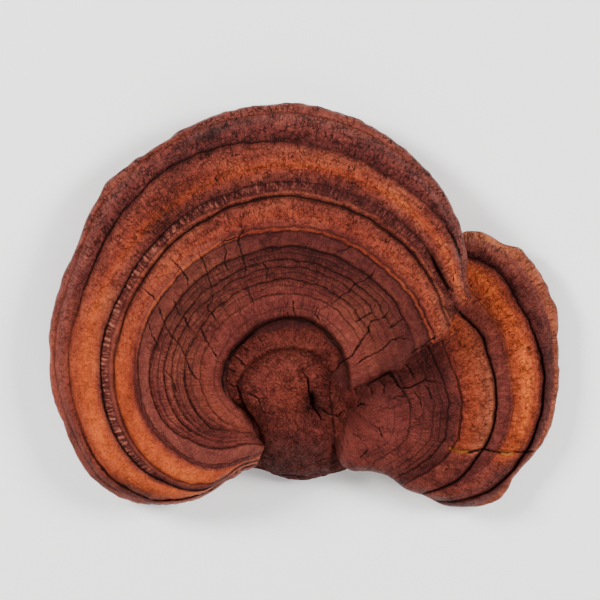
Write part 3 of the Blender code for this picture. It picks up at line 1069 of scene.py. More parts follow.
@dataclass(frozen=True)
class CrustPattern:
    """The marks and patterns of the crust, the same in its shape and in its colour."""

    tree: bpy.types.NodeTree
    kind: Tree
    seed_step: float = 37.0  # how far apart in the noise two seeds lie
    even: float = 0.5  # roughness of the noise that hairlines follow
    breaks: tuple[float, float] = (5.0, 4.0)  # size of the clouds that break hairlines, mm
    whole: float = 0.08  # cloud value above which a line isn't broken
    gap_size: float = 1.6  # size of the clouds that break cracks between plates, in plates
    jag_size: float = 2.2  # waves of a crack's jags per plate
    jag_depth: float = 0.8  # in plates

    def mark(self, name: str) -> Socket:
        """Reads one of the mesh's marks.

        Args:
            name: the mark's name.

        Returns:
            Its value at each point.
        """
        if self.kind is Tree.COLOUR:
            return add(self.tree, Kind("ShaderNodeAttribute", output="Fac"), attribute_name=name)
        kind = Kind("GeometryNodeInputNamedAttribute", {"data_type": "FLOAT"}, output="Attribute")
        return add(self.tree, kind, {"Name": name})

    def spot(self) -> Socket:
        """Place in the mushroom's own space, mm."""
        kind = OWN_SPACE if self.kind is Tree.COLOUR else "GeometryNodeInputPosition"
        return add(self.tree, SCALED, (add(self.tree, kind), 1 / MM))

    def on_fan(self, around: Value, out: Value, seed: float) -> Socket:
        """Place on the fan in units of a pattern's own size, so that its scale is 1.

        Args:
            around: the pattern's size round the fan, mm.
            out: its size outwards, mm.
            seed: sets one pattern apart from another of the same size.

        Returns:
            The place, as a vector.
        """
        sizes = {"around": around, "across": around, "out": out}
        x, y, z = [add(self.tree, "DIVIDE", (self.mark(name), size)) for name, size in sizes.items()]
        z = add(self.tree, "ADD", (z, seed * self.seed_step))
        return add(self.tree, "ShaderNodeCombineXYZ", (x, y, z))

    def clouds(self, around: Value, out: Value, seed: float, detail: float, rough: float = 0.6) -> Socket:
        """Noise of about -0.3 to 0.3, sized as on_fan says, in finer layers of a given roughness."""
        noise = add(self.tree, NOISE, (self.on_fan(around, out, seed), 1.0, detail, rough))
        return add(self.tree, "ADD", (noise, -0.5))

    def broken(self, line: Socket, breaks: Socket, start: float) -> Socket:
        """Leaves a line out where the clouds that break it are below start."""
        some = add(self.tree, RANGE, (breaks, start, self.whole, 0.0, 1.0))
        return add(self.tree, "MULTIPLY", (line, some))

    def hairlines(self, around: float, out: float, seed: float, width: float, detail: float = 2.5) -> Socket:
        """Thin, broken, wandering lines, drawn out along the longer of two sizes.

        Args:
            around: the pattern's size round the fan, mm.
            out: its size outwards, mm.
            seed: sets it apart from other lines.
            width: how wide the lines are, as a share of the noise.
            detail: how jagged they are.

        Returns:
            1 on a line and 0 away from it.
        """
        away = add(self.tree, "ABSOLUTE", (self.clouds(around, out, seed, detail, self.even),))
        line = add(self.tree, SMOOTH_RANGE, (away, 0.0, width, 1.0, 0.0))
        return self.broken(line, self.clouds(*self.breaks, seed + 0.5, detail=2.0), start=-0.06)

    def plates(self, size: float, width: float, seed: float) -> Socket:
        """Broken, jagged cracks between plates of crust.

        Args:
            size: of a plate, mm.
            width: of a crack, mm.
            seed: sets these plates apart from others.

        Returns:
            1 on a crack and 0 away from it.
        """
        place = add(self.tree, SCALED, (self.spot(), 1 / size))
        place = add(self.tree, VECTOR, (place, (seed * self.seed_step, 0, 0)), operation="ADD")
        jag = add(self.tree, NOISE_VECTOR, (place, self.jag_size, 3.0))
        jag = add(self.tree, VECTOR, (jag, (0.5, 0.5, 0.5)), operation="SUBTRACT")
        place = add(self.tree, VECTOR, (jag, (self.jag_depth,) * 3, place), operation="MULTIPLY_ADD")
        edge = add(self.tree, CELLS, (place, 1.0), voronoi_dimensions="3D", feature="DISTANCE_TO_EDGE")
        line = add(self.tree, SMOOTH_RANGE, (edge, 0.0, width / size, 1.0, 0.0))
        wide = self.gap_size * size
        return self.broken(line, self.clouds(wide, wide, seed + 2.5, detail=2.0), start=-0.08)


@dataclass(frozen=True)
class CrustRelief:
    """Geometry nodes that raise lumps, radial wrinkles and fine cracks on a bare skin; sizes in mm."""

    lump_height: float = 0.5
    lump_size: float = 9.0
    bump_height: float = 0.22
    bump_size: float = 2.6
    wrinkle_height: float = 1.2
    wrinkle_width: float = 2.0
    wrinkle_length: float = 7.0
    crack_depth: float = 0.3

    def sizes(self) -> dict[str, float]:
        """The tree's named inputs, such as "Lump Height"."""
        return {name.replace("_", " ").title(): size for name, size in vars(self).items()}

    def tree(self) -> bpy.types.NodeTree:
        """Builds the tree.

        Returns:
            A tree with an input for each named size and for the two finishes.
        """
        tree = bpy.data.node_groups.new("crust relief", "GeometryNodeTree")
        inputs = {"Geometry": "NodeSocketGeometry"} | dict.fromkeys(self.sizes(), "NodeSocketFloat")
        inputs |= dict.fromkeys(("Crust", "Below"), "NodeSocketMaterial")
        for name, kind in inputs.items():
            tree.interface.new_socket(name, in_out="INPUT", socket_type=kind)
        tree.interface.new_socket("Geometry", in_out="OUTPUT", socket_type="NodeSocketGeometry")
        given = add(tree, "NodeGroupInput").node.outputs
        pattern = CrustPattern(tree, Tree.SHAPE)
        ribs = pattern.clouds(given["Wrinkle Width"], given["Wrinkle Length"], seed=2.0, detail=2.0)
        ribs = add(tree, "MULTIPLY", (add(tree, "ABSOLUTE", (ribs,)), pattern.mark("wrinkled")))
        plates = pattern.plates(PLATE, 2 * PLATE_CRACK, PLATE_SEED)
        cracks = add(tree, "MULTIPLY", (plates, pattern.mark("crazed")))
        cracks = add(tree, "MULTIPLY", (cracks, given["Crack Depth"]))
        position = add(tree, "GeometryNodeInputPosition")
        total = add(tree, "SUBTRACT", (add(tree, "MULTIPLY", (ribs, given["Wrinkle Height"])), cracks))
        for name, detail in (("Lump", 2.0), ("Bump", 3.0)):
            scale = add(tree, "DIVIDE", (1 / MM, given[f"{name} Size"]))
            swell = add(tree, "SUBTRACT", (add(tree, NOISE, (position, scale, detail)), 0.5))
            total = add(tree, "MULTIPLY_ADD", (swell, given[f"{name} Height"], total))
        below = pattern.mark("pore_side")
        total = add(tree, "MULTIPLY", (total, add(tree, "SUBTRACT", (1.0, below))))
        total = add(tree, "MULTIPLY", (total, MM))
        offset = add(tree, SCALED, (add(tree, "GeometryNodeInputNormal"), total))
        skin = add(tree, "GeometryNodeSetPosition", {"Geometry": given["Geometry"], "Offset": offset})
        skin = add(tree, "GeometryNodeRealizeInstances", (skin,))
        skin = add(tree, PAINT, (skin, given["Crust"]))
        is_below = add(tree, "FunctionNodeCompare", (below, 0.5), operation="GREATER_THAN")
        add(tree, "NodeGroupOutput", (add(tree, PAINT, (skin, given["Below"], is_below)),))
        return tree

    def raise_on(
        self, bare: bpy.types.Mesh, crust: bpy.types.Material, below: bpy.types.Material
    ) -> bpy.types.Object:
        """Raises the relief on a bare skin and gives it its finishes.

        Args:
            bare: the skin's mesh.
            crust: finish of the top.
            below: finish of the pore side or the cut.

        Returns:
            A plain mesh object at the origin, with no modifier left on it.
        """
        piece = bpy.data.objects.new(bare.name, bare)
        bpy.context.scene.collection.objects.link(piece)
        relief = piece.modifiers.new("relief", "NODES")
        relief.node_group = self.tree()
        values = self.sizes() | {"Crust": crust, "Below": below}
        for socket in relief.node_group.interface.items_tree:
            if socket.name in values:
                relief[socket.identifier] = values[socket.name]
        graph = bpy.context.evaluated_depsgraph_get()
        done = bpy.data.meshes.new_from_object(
            piece.evaluated_get(graph), preserve_all_data_layers=True, depsgraph=graph
        )
        piece.modifiers.clear()
        piece.data = done
        done.name = piece.name
        return piece


# ---- Finishes ----
DIRT_AND_SHADE = "#160503"  # dirt and painted shade at the bottom of a crack
FLESH = "#95592a"  # bared by the split in the small cap
RIB_HIGHLIGHT = "#8c4a3e"  # painted highlight on the top of a wrinkle


class Tint(Enum):
    """Colours of the crust, from the darkest furrow to the palest edge."""

    SOOT = "#290a06"
    WINE = "#3e1614"
    MAROON = "#4f1f1a"
    LIVER = "#5b2520"
    CHESTNUT = "#672b21"
    BRICK = "#732c1d"
    RUST = "#83331c"
    SIENNA = "#923a1b"
    AMBER = "#a2431c"
    UMBER = "#602b24"
    CLAY = "#7f3e2a"


# names for the tables of bands
SOOT, WINE, MAROON, LIVER, CHESTNUT, BRICK, RUST, SIENNA, AMBER, UMBER, CLAY = Tint
Bands = tuple[tuple[float, Tint], ...]  # a colour at each place among a cap's rings


@dataclass(frozen=True)
class LacqueredCrust:
    """Dried lacquered crust of a reishi: a thin, hard resin skin over corky flesh.

    It gives the eye dark red to orange growth bands under a satin gloss, with mottled stains, fine
    dark scratches across the bands, dull dirt and painted shade in every furrow, and a soft sheen on
    the wrinkles that is partly real gloss and partly a painted highlight.
    """

    name: str
    rings: int
    top_bands: Bands  # seen at the fan's first angles
    left_bands: Bands  # and at its last angles
    turn_of_bands: tuple[float, float]  # distances round, mm, between which they change
    low_bands: Bands = ()  # seen before the fan's first angles, where it has any
    turn_of_low_bands: tuple[float, float] = (0.0, 0.0)
    mottle: float = 1.0
    roughness: float = 0.34
    specular: float = 0.1
    ior: float = 1.42
    # stains: size round and outwards in mm, seed, detail, roughness, and how strongly they mottle
    stains: tuple[tuple[float, ...], ...] = (
        (26, 10, 6, 5, 0.6, 1.5), (6, 4, 7, 6, 0.7, 1.3), (12, 9, 6.5, 5, 0.65, 1.6)
    )
    # hairlines: size round and outwards in mm, seed, width, and how dirty they are
    scratches: tuple[tuple[float, ...], ...] = (
        (1.7, 8, 9, 0.022, 1), (1.3, 5, 21, 0.025, 0.8), (6, 1.6, 10, 0.02, 0.4)
    )
    # lines: mm from their middle where the dirt and painted shade start to thin and where they end, and
    # how much lighter the painted highlight on their edges is
    lines: tuple[tuple[str, float, float, float], ...] = (
        ("crack", 0.14, 0.36, 0.2), ("line", 0.1, 0.34, 0.25)
    )
    line_jag: float = 2.1  # how far lines stray by fine jags, mm
    line_swell: float = 1.1  # how much they swell and thin along the way, mm
    worn_off: float = 0.75  # how far beside a line its painted highlight lies, mm
    most_grime: float = 0.96
    waver: float = 0.14  # how far the bands' edges waver, in rings

    def build(self) -> bpy.types.Material:
        """Makes the material.

        Returns:
            The material, its patterns all drawn by nodes.
        """
        material, tree, shader = new_material(self.name)
        pattern = CrustPattern(tree, Tree.COLOUR)
        spot = pattern.spot()
        # specks of about 0.5 mm, the finest that a picture of the whole mushroom shows
        grain = add(tree, NOISE, (spot, 2.0, 3.0, 0.65))
        ribs = add(tree, "ABSOLUTE", (pattern.clouds(1.5, 8.0, seed=12.0, detail=2.0),))
        ribs = add(tree, "ADD", (ribs, -0.1))
        jag = add(tree, "ADD", (add(tree, NOISE, (spot, 0.6, 3.0, 0.6)), -0.5))
        swell = pattern.clouds(4, 4, seed=15.0, detail=3.0)
        lines = {}
        for name, *_ in self.lines:
            away = add(tree, "MULTIPLY_ADD", (jag, self.line_jag, pattern.mark(name)))
            away = add(tree, "ABSOLUTE", (away,))
            lines[name] = add(tree, "MULTIPLY_ADD", (swell, self.line_swell, away))
        grime = self.grime(pattern, lines)
        # painted highlight: the ribs' tops are mixed towards a pale pinkish colour where the crust is most
        # wrinkled
        worn = add(tree, RANGE, (ribs, -0.08, 0.06, 0.0, 0.6))
        highlight_share = add(tree, "POWER", (pattern.mark("wrinkled"), 4.0))
        worn = add(tree, "MULTIPLY", (worn, highlight_share))
        colour = add(tree, MIX, (worn, self.bands(pattern), linear(RIB_HIGHLIGHT)))
        colour = self.mottled(pattern, colour, grain, ribs, lines)
        # dirt and painted shade darken cracks, growth lines and scratches towards near black
        colour = add(tree, MIX, (grime, colour, linear(DIRT_AND_SHADE)))
        bare = add(tree, RANGE, (pattern.mark("flesh"), 0.6, 0.8, 0.0, 1.0))
        colour = add(tree, MIX, (bare, colour, linear(FLESH)))

        # gloss: least in the dirt and painted shade of cracks, most on the wrinkles
        rough = add(tree, RANGE, (grain, 0.3, 0.7, self.roughness - 0.08, self.roughness + 0.12))
        rough = add(tree, "MULTIPLY_ADD", (grime, 0.4, rough))
        polish = add(tree, "MULTIPLY_ADD", (pattern.mark("wrinkled"), -0.12, rough))

        # relief too fine for the mesh, in mm
        height = add(tree, "MULTIPLY", (ribs, pattern.mark("wrinkled")))
        height = add(tree, "MULTIPLY", (height, 3.0))
        lumps = pattern.clouds(2.4, 2.0, seed=3.0, detail=3.0)
        for layer, amount in ((grain, 0.6), (lumps, 1.0), (grime, -0.45)):
            height = add(tree, "MULTIPLY_ADD", (layer, amount, height))
        feed(tree, shader, {
            "Base Color": colour, "Roughness": polish, "Normal": add(tree, BUMP, (height, MM, 1.0)),
            "IOR": self.ior, "Specular IOR Level": self.specular,
        })
        return material

    def bands(self, pattern: CrustPattern) -> Socket:
        """Colours the growth bands, whose edges waver a little.

        Args:
            pattern: the crust's marks.

        Returns:
            The colour.
        """
        tree = pattern.tree
        waver = pattern.clouds(7, 3, seed=0.3, detail=5.0)
        place = add(tree, "MULTIPLY_ADD", (waver, self.waver, pattern.mark("ring")))
        place = add(tree, "DIVIDE", (place, self.rings + 1))
        colour, *others = [
            add(tree, RAMP, (place,), stops=[(at / (self.rings + 1), tint.value) for at, tint in bands])
            for bands in (self.top_bands, self.left_bands, self.low_bands) if bands
        ]
        for over, turn in zip(others, (self.turn_of_bands, self.turn_of_low_bands)):
            turned = add(tree, RANGE, (pattern.mark("around"), *turn))
            colour = add(tree, MIX, (turned, colour, over))
        return colour

    def mottled(
        self, pattern: CrustPattern, colour: Socket, grain: Socket, ribs: Socket, lines: dict[str, Socket]
    ) -> Socket:
        """Lays stains, patches (partly painted sheen and shade), grain, painted light and shade on
        the ribs, painted highlights beside lines and the painted shade and dirt of furrows over the
        bands.

        Args:
            pattern: the crust's marks.
            colour: the bands' colour.
            grain: specks.
            ribs: fine radial ribs.
            lines: distance to the nearest crack and growth line, mm.

        Returns:
            The colour.
        """
        tree = pattern.tree
        # fine streaks across the bands, 0.5 mm wide, most where the crust is rough
        rougher = add(tree, "MULTIPLY_ADD", (pattern.mark("scratched"), 1.3, 0.3))
        streak = pattern.clouds(0.5, 2.2, seed=22.0, detail=2.0)
        streak = add(tree, "ADD", (streak, pattern.clouds(1.1, 8, seed=16.0, detail=3.0)))
        streak = add(tree, "MULTIPLY", (streak, rougher))
        tone = pattern.mark("tone")
        for layer, amount in (
            *((pattern.clouds(*shape), amount) for *shape, amount in self.stains),
            (pattern.mark("scratched"), 0.12),
            # the ribs' hollows are painted darker and their tops lighter: painted shade and light from the
            # same noise that bumps them
            (add(tree, "MULTIPLY", (ribs, pattern.mark("wrinkled"))), 5.0),
            (add(tree, "ADD", (grain, -0.5)), 2.2),
            (streak, 1.0),
        ):
            tone = add(tree, "MULTIPLY_ADD", (layer, self.mottle * amount, tone))
        # painted highlight: a lighter edge beside the cracks and growth lines, where a layer's lip would
        # catch the light
        for name, _, _, amount in self.lines:
            edge = add(tree, "ABSOLUTE", (add(tree, "SUBTRACT", (lines[name], self.worn_off)),))
            edge = add(tree, SMOOTH_RANGE, (edge, 0.1, 0.5, amount, 0.0))
            tone = add(tree, "MULTIPLY_ADD", (edge, pattern.mark(f"{name}_shows"), tone))
        value = add(tree, RANGE, (tone, -1.0, 1.0, 0.2, 1.85))
        # painted shade, with dirt, of the furrows and cracks where the dark mark lies
        shade = add(tree, "MULTIPLY_ADD", (grain, 0.9, 0.25))
        shade = add(tree, "MULTIPLY", (shade, pattern.mark("dark")))
        shade = add(tree, "SUBTRACT", (1.0, shade), use_clamp=True)
        value = add(tree, "MULTIPLY", (value, shade))
        hue = add(tree, RANGE, (tone, 0.0, 1.0, 0.5, 0.51))
        return add(tree, "ShaderNodeHueSaturation", {"Hue": hue, "Value": value, "Color": colour})

    def grime(self, pattern: CrustPattern, lines: dict[str, Socket]) -> Socket:
        """Dirt and painted shade at the bottom of cracks, growth lines and scratches: 1 where darkest.

        Args:
            pattern: the crust's marks.
            lines: distance to the nearest crack and growth line, mm.

        Returns:
            How dark the dirt and painted shade are.
        """
        tree = pattern.tree
        # hairlines across the bands, about 0.4 mm wide, and some along them
        darkest = 0.0
        for *shape, amount in self.scratches:
            scratch = add(tree, "MULTIPLY", (pattern.hairlines(*shape), amount))
            darkest = add(tree, "MAXIMUM", (darkest, scratch))
        darkest = add(tree, "MULTIPLY", (darkest, pattern.mark("scratched")))
        splits = pattern.hairlines(8.0, 26.0, seed=14.0, width=0.02, detail=5.0)
        cracks = add(tree, "MAXIMUM", (pattern.plates(PLATE, PLATE_CRACK, PLATE_SEED), splits))
        cracks = add(tree, "MULTIPLY", (cracks, pattern.mark("crazed")))
        rougher = add(tree, "MULTIPLY_ADD", (pattern.mark("scratched"), 0.5, 0.25))
        layers = [cracks, add(tree, "MULTIPLY", (pattern.plates(1.7, 0.26, seed=5.0), rougher))]
        for name, narrow, wide, _ in self.lines:
            line = add(tree, SMOOTH_RANGE, (lines[name], narrow, wide, 1.0, 0.0))
            layers.append(add(tree, "MULTIPLY", (line, pattern.mark(f"{name}_shows"))))
        for layer in layers:
            darkest = add(tree, "MAXIMUM", (darkest, layer))
        return add(tree, "MINIMUM", (darkest, self.most_grime))


@dataclass(frozen=True)
class PoreLayer:
    """Dried pore layer of a reishi: matte, cream to brown, with a tube mouth every quarter of a mm.

    It gives the eye a dull suede-like face, bruised brown in clouds. The tube mouths are drawn at
    0.7 mm, because the real ones are too fine to show.
    """

    name: str = "dried pore layer"
    pale: str = "#b59468"
    bruised: str = "#7d5434"
    mouth: str = "#5c3b22"
    cloud_size: float = 18.0  # mm
    pore_size: float = 0.7  # mm
    pore_depth: float = 0.3  # mm
    bump: float = 0.7
    roughness: float = 0.85

    def build(self) -> bpy.types.Material:
        """Makes the material.

        Returns:
            The material, its patterns all drawn by nodes.
        """
        material, tree, shader = new_material(self.name)
        spot = add(tree, OWN_SPACE)
        clouds = add(tree, NOISE, (spot, 1 / (self.cloud_size * MM), 6.0))
        colour = add(tree, RAMP, (clouds,), stops=((0.36, self.bruised), (0.62, self.pale)))
        pores = add(tree, CELLS, (spot, 1 / (self.pore_size * MM)))
        open_mouth = add(tree, RANGE, (pores, 0.15, 0.4, 0.7, 0.0))
        colour = add(tree, MIX, (open_mouth, colour, linear(self.mouth)))
        bump = add(tree, BUMP, (pores, self.pore_depth * MM, self.bump))
        feed(tree, shader, {"Base Color": colour, "Roughness": self.roughness, "Normal": bump})
        return material


@dataclass(frozen=True)
class CutFlesh:
    """Cut corky flesh: dull tan brown with fine fibres.

    It gives the eye a dry, matte, slightly fibrous face where the stem was cut off its log.
    """

    name: str = "cut corky flesh"
    pale: str = "#a9814f"
    dark: str = "#6d4526"
    fibre_size: float = 1.6  # mm
    fibre_depth: float = 0.4  # mm
    bump: float = 0.8
    roughness: float = 0.9

    def build(self) -> bpy.types.Material:
        """Makes the material.

        Returns:
            The material, its patterns all drawn by nodes.
        """
        material, tree, shader = new_material(self.name)
        fibres = add(tree, NOISE, (add(tree, OWN_SPACE), 1 / (self.fibre_size * MM), 8.0, 0.5, 1.5))
        colour = add(tree, RAMP, (fibres,), stops=((0.35, self.dark), (0.6, self.pale)))
        bump = add(tree, BUMP, (fibres, self.fibre_depth * MM, self.bump))
        feed(tree, shader, {"Base Color": colour, "Roughness": self.roughness, "Normal": bump})
        return material


@dataclass(frozen=True)
class Studio:
    """Plain pale floor and soft lights."""

    floor_side: float = 8.0  # m
    floor_drop: float = 0.05  # mm below the mushroom
    floor_colour: str = "#f4f3f1"
    floor_roughness: float = 0.9
    sky_colour: str = "#f2f3f5"
    sky_strength: float = 0.3
    lights: tuple[tuple, ...] = (
        # name, place in m, watts, side in m
        ("key", (-0.95, 0.4, 0.85), 34.0, 0.4),
        ("second key", (0.95, 0.2, 0.85), 28.0, 0.45),
        ("front", (0.1, -0.95, 0.9), 9.0, 0.9),
    )

    def build(self) -> None:
        """Adds the floor, the sky and the lights."""
        half = self.floor_side / 2
        mesh = bpy.data.meshes.new("floor")
        corners = [(-half, -half, 0), (half, -half, 0), (half, half, 0), (-half, half, 0)]
        mesh.from_pydata(corners, [], [(0, 1, 2, 3)])
        floor = bpy.data.objects.new("floor", mesh)
        floor.location.z = -self.floor_drop * MM
        bpy.context.scene.collection.objects.link(floor)
        material, tree, shader = new_material("pale matte board")
        feed(tree, shader, {"Base Color": linear(self.floor_colour), "Roughness": self.floor_roughness})
        mesh.materials.append(material)
        world = bpy.data.worlds.new("studio")
        world.use_nodes = True
        sky = world.node_tree.nodes["Background"]
        feed(world.node_tree, sky, {"Color": linear(self.sky_colour), "Strength": self.sky_strength})
        bpy.context.scene.world = world
        for name, place, watts, side in self.lights:
            lamp = bpy.data.lights.new(name, "AREA")
            lamp.energy = watts
            lamp.size = side
            holder = bpy.data.objects.new(name, lamp)
            holder.location = place
            away = holder.location.normalized()
            holder.rotation_euler = away.to_track_quat("Z", "Y").to_euler()
            bpy.context.scene.collection.objects.link(holder)


# ---- The large cap ----
# the furrow beside the knob, and the one above it, in pixels
LEFT_FURROW = ((226, 396), (222, 380), (225, 364), (232, 352), (244, 340), (255, 330))
TOP_FURROW = ((255, 330), (269, 322), (283, 319), (299, 320), (311, 322), (323, 331), (333, 342), (344, 357))
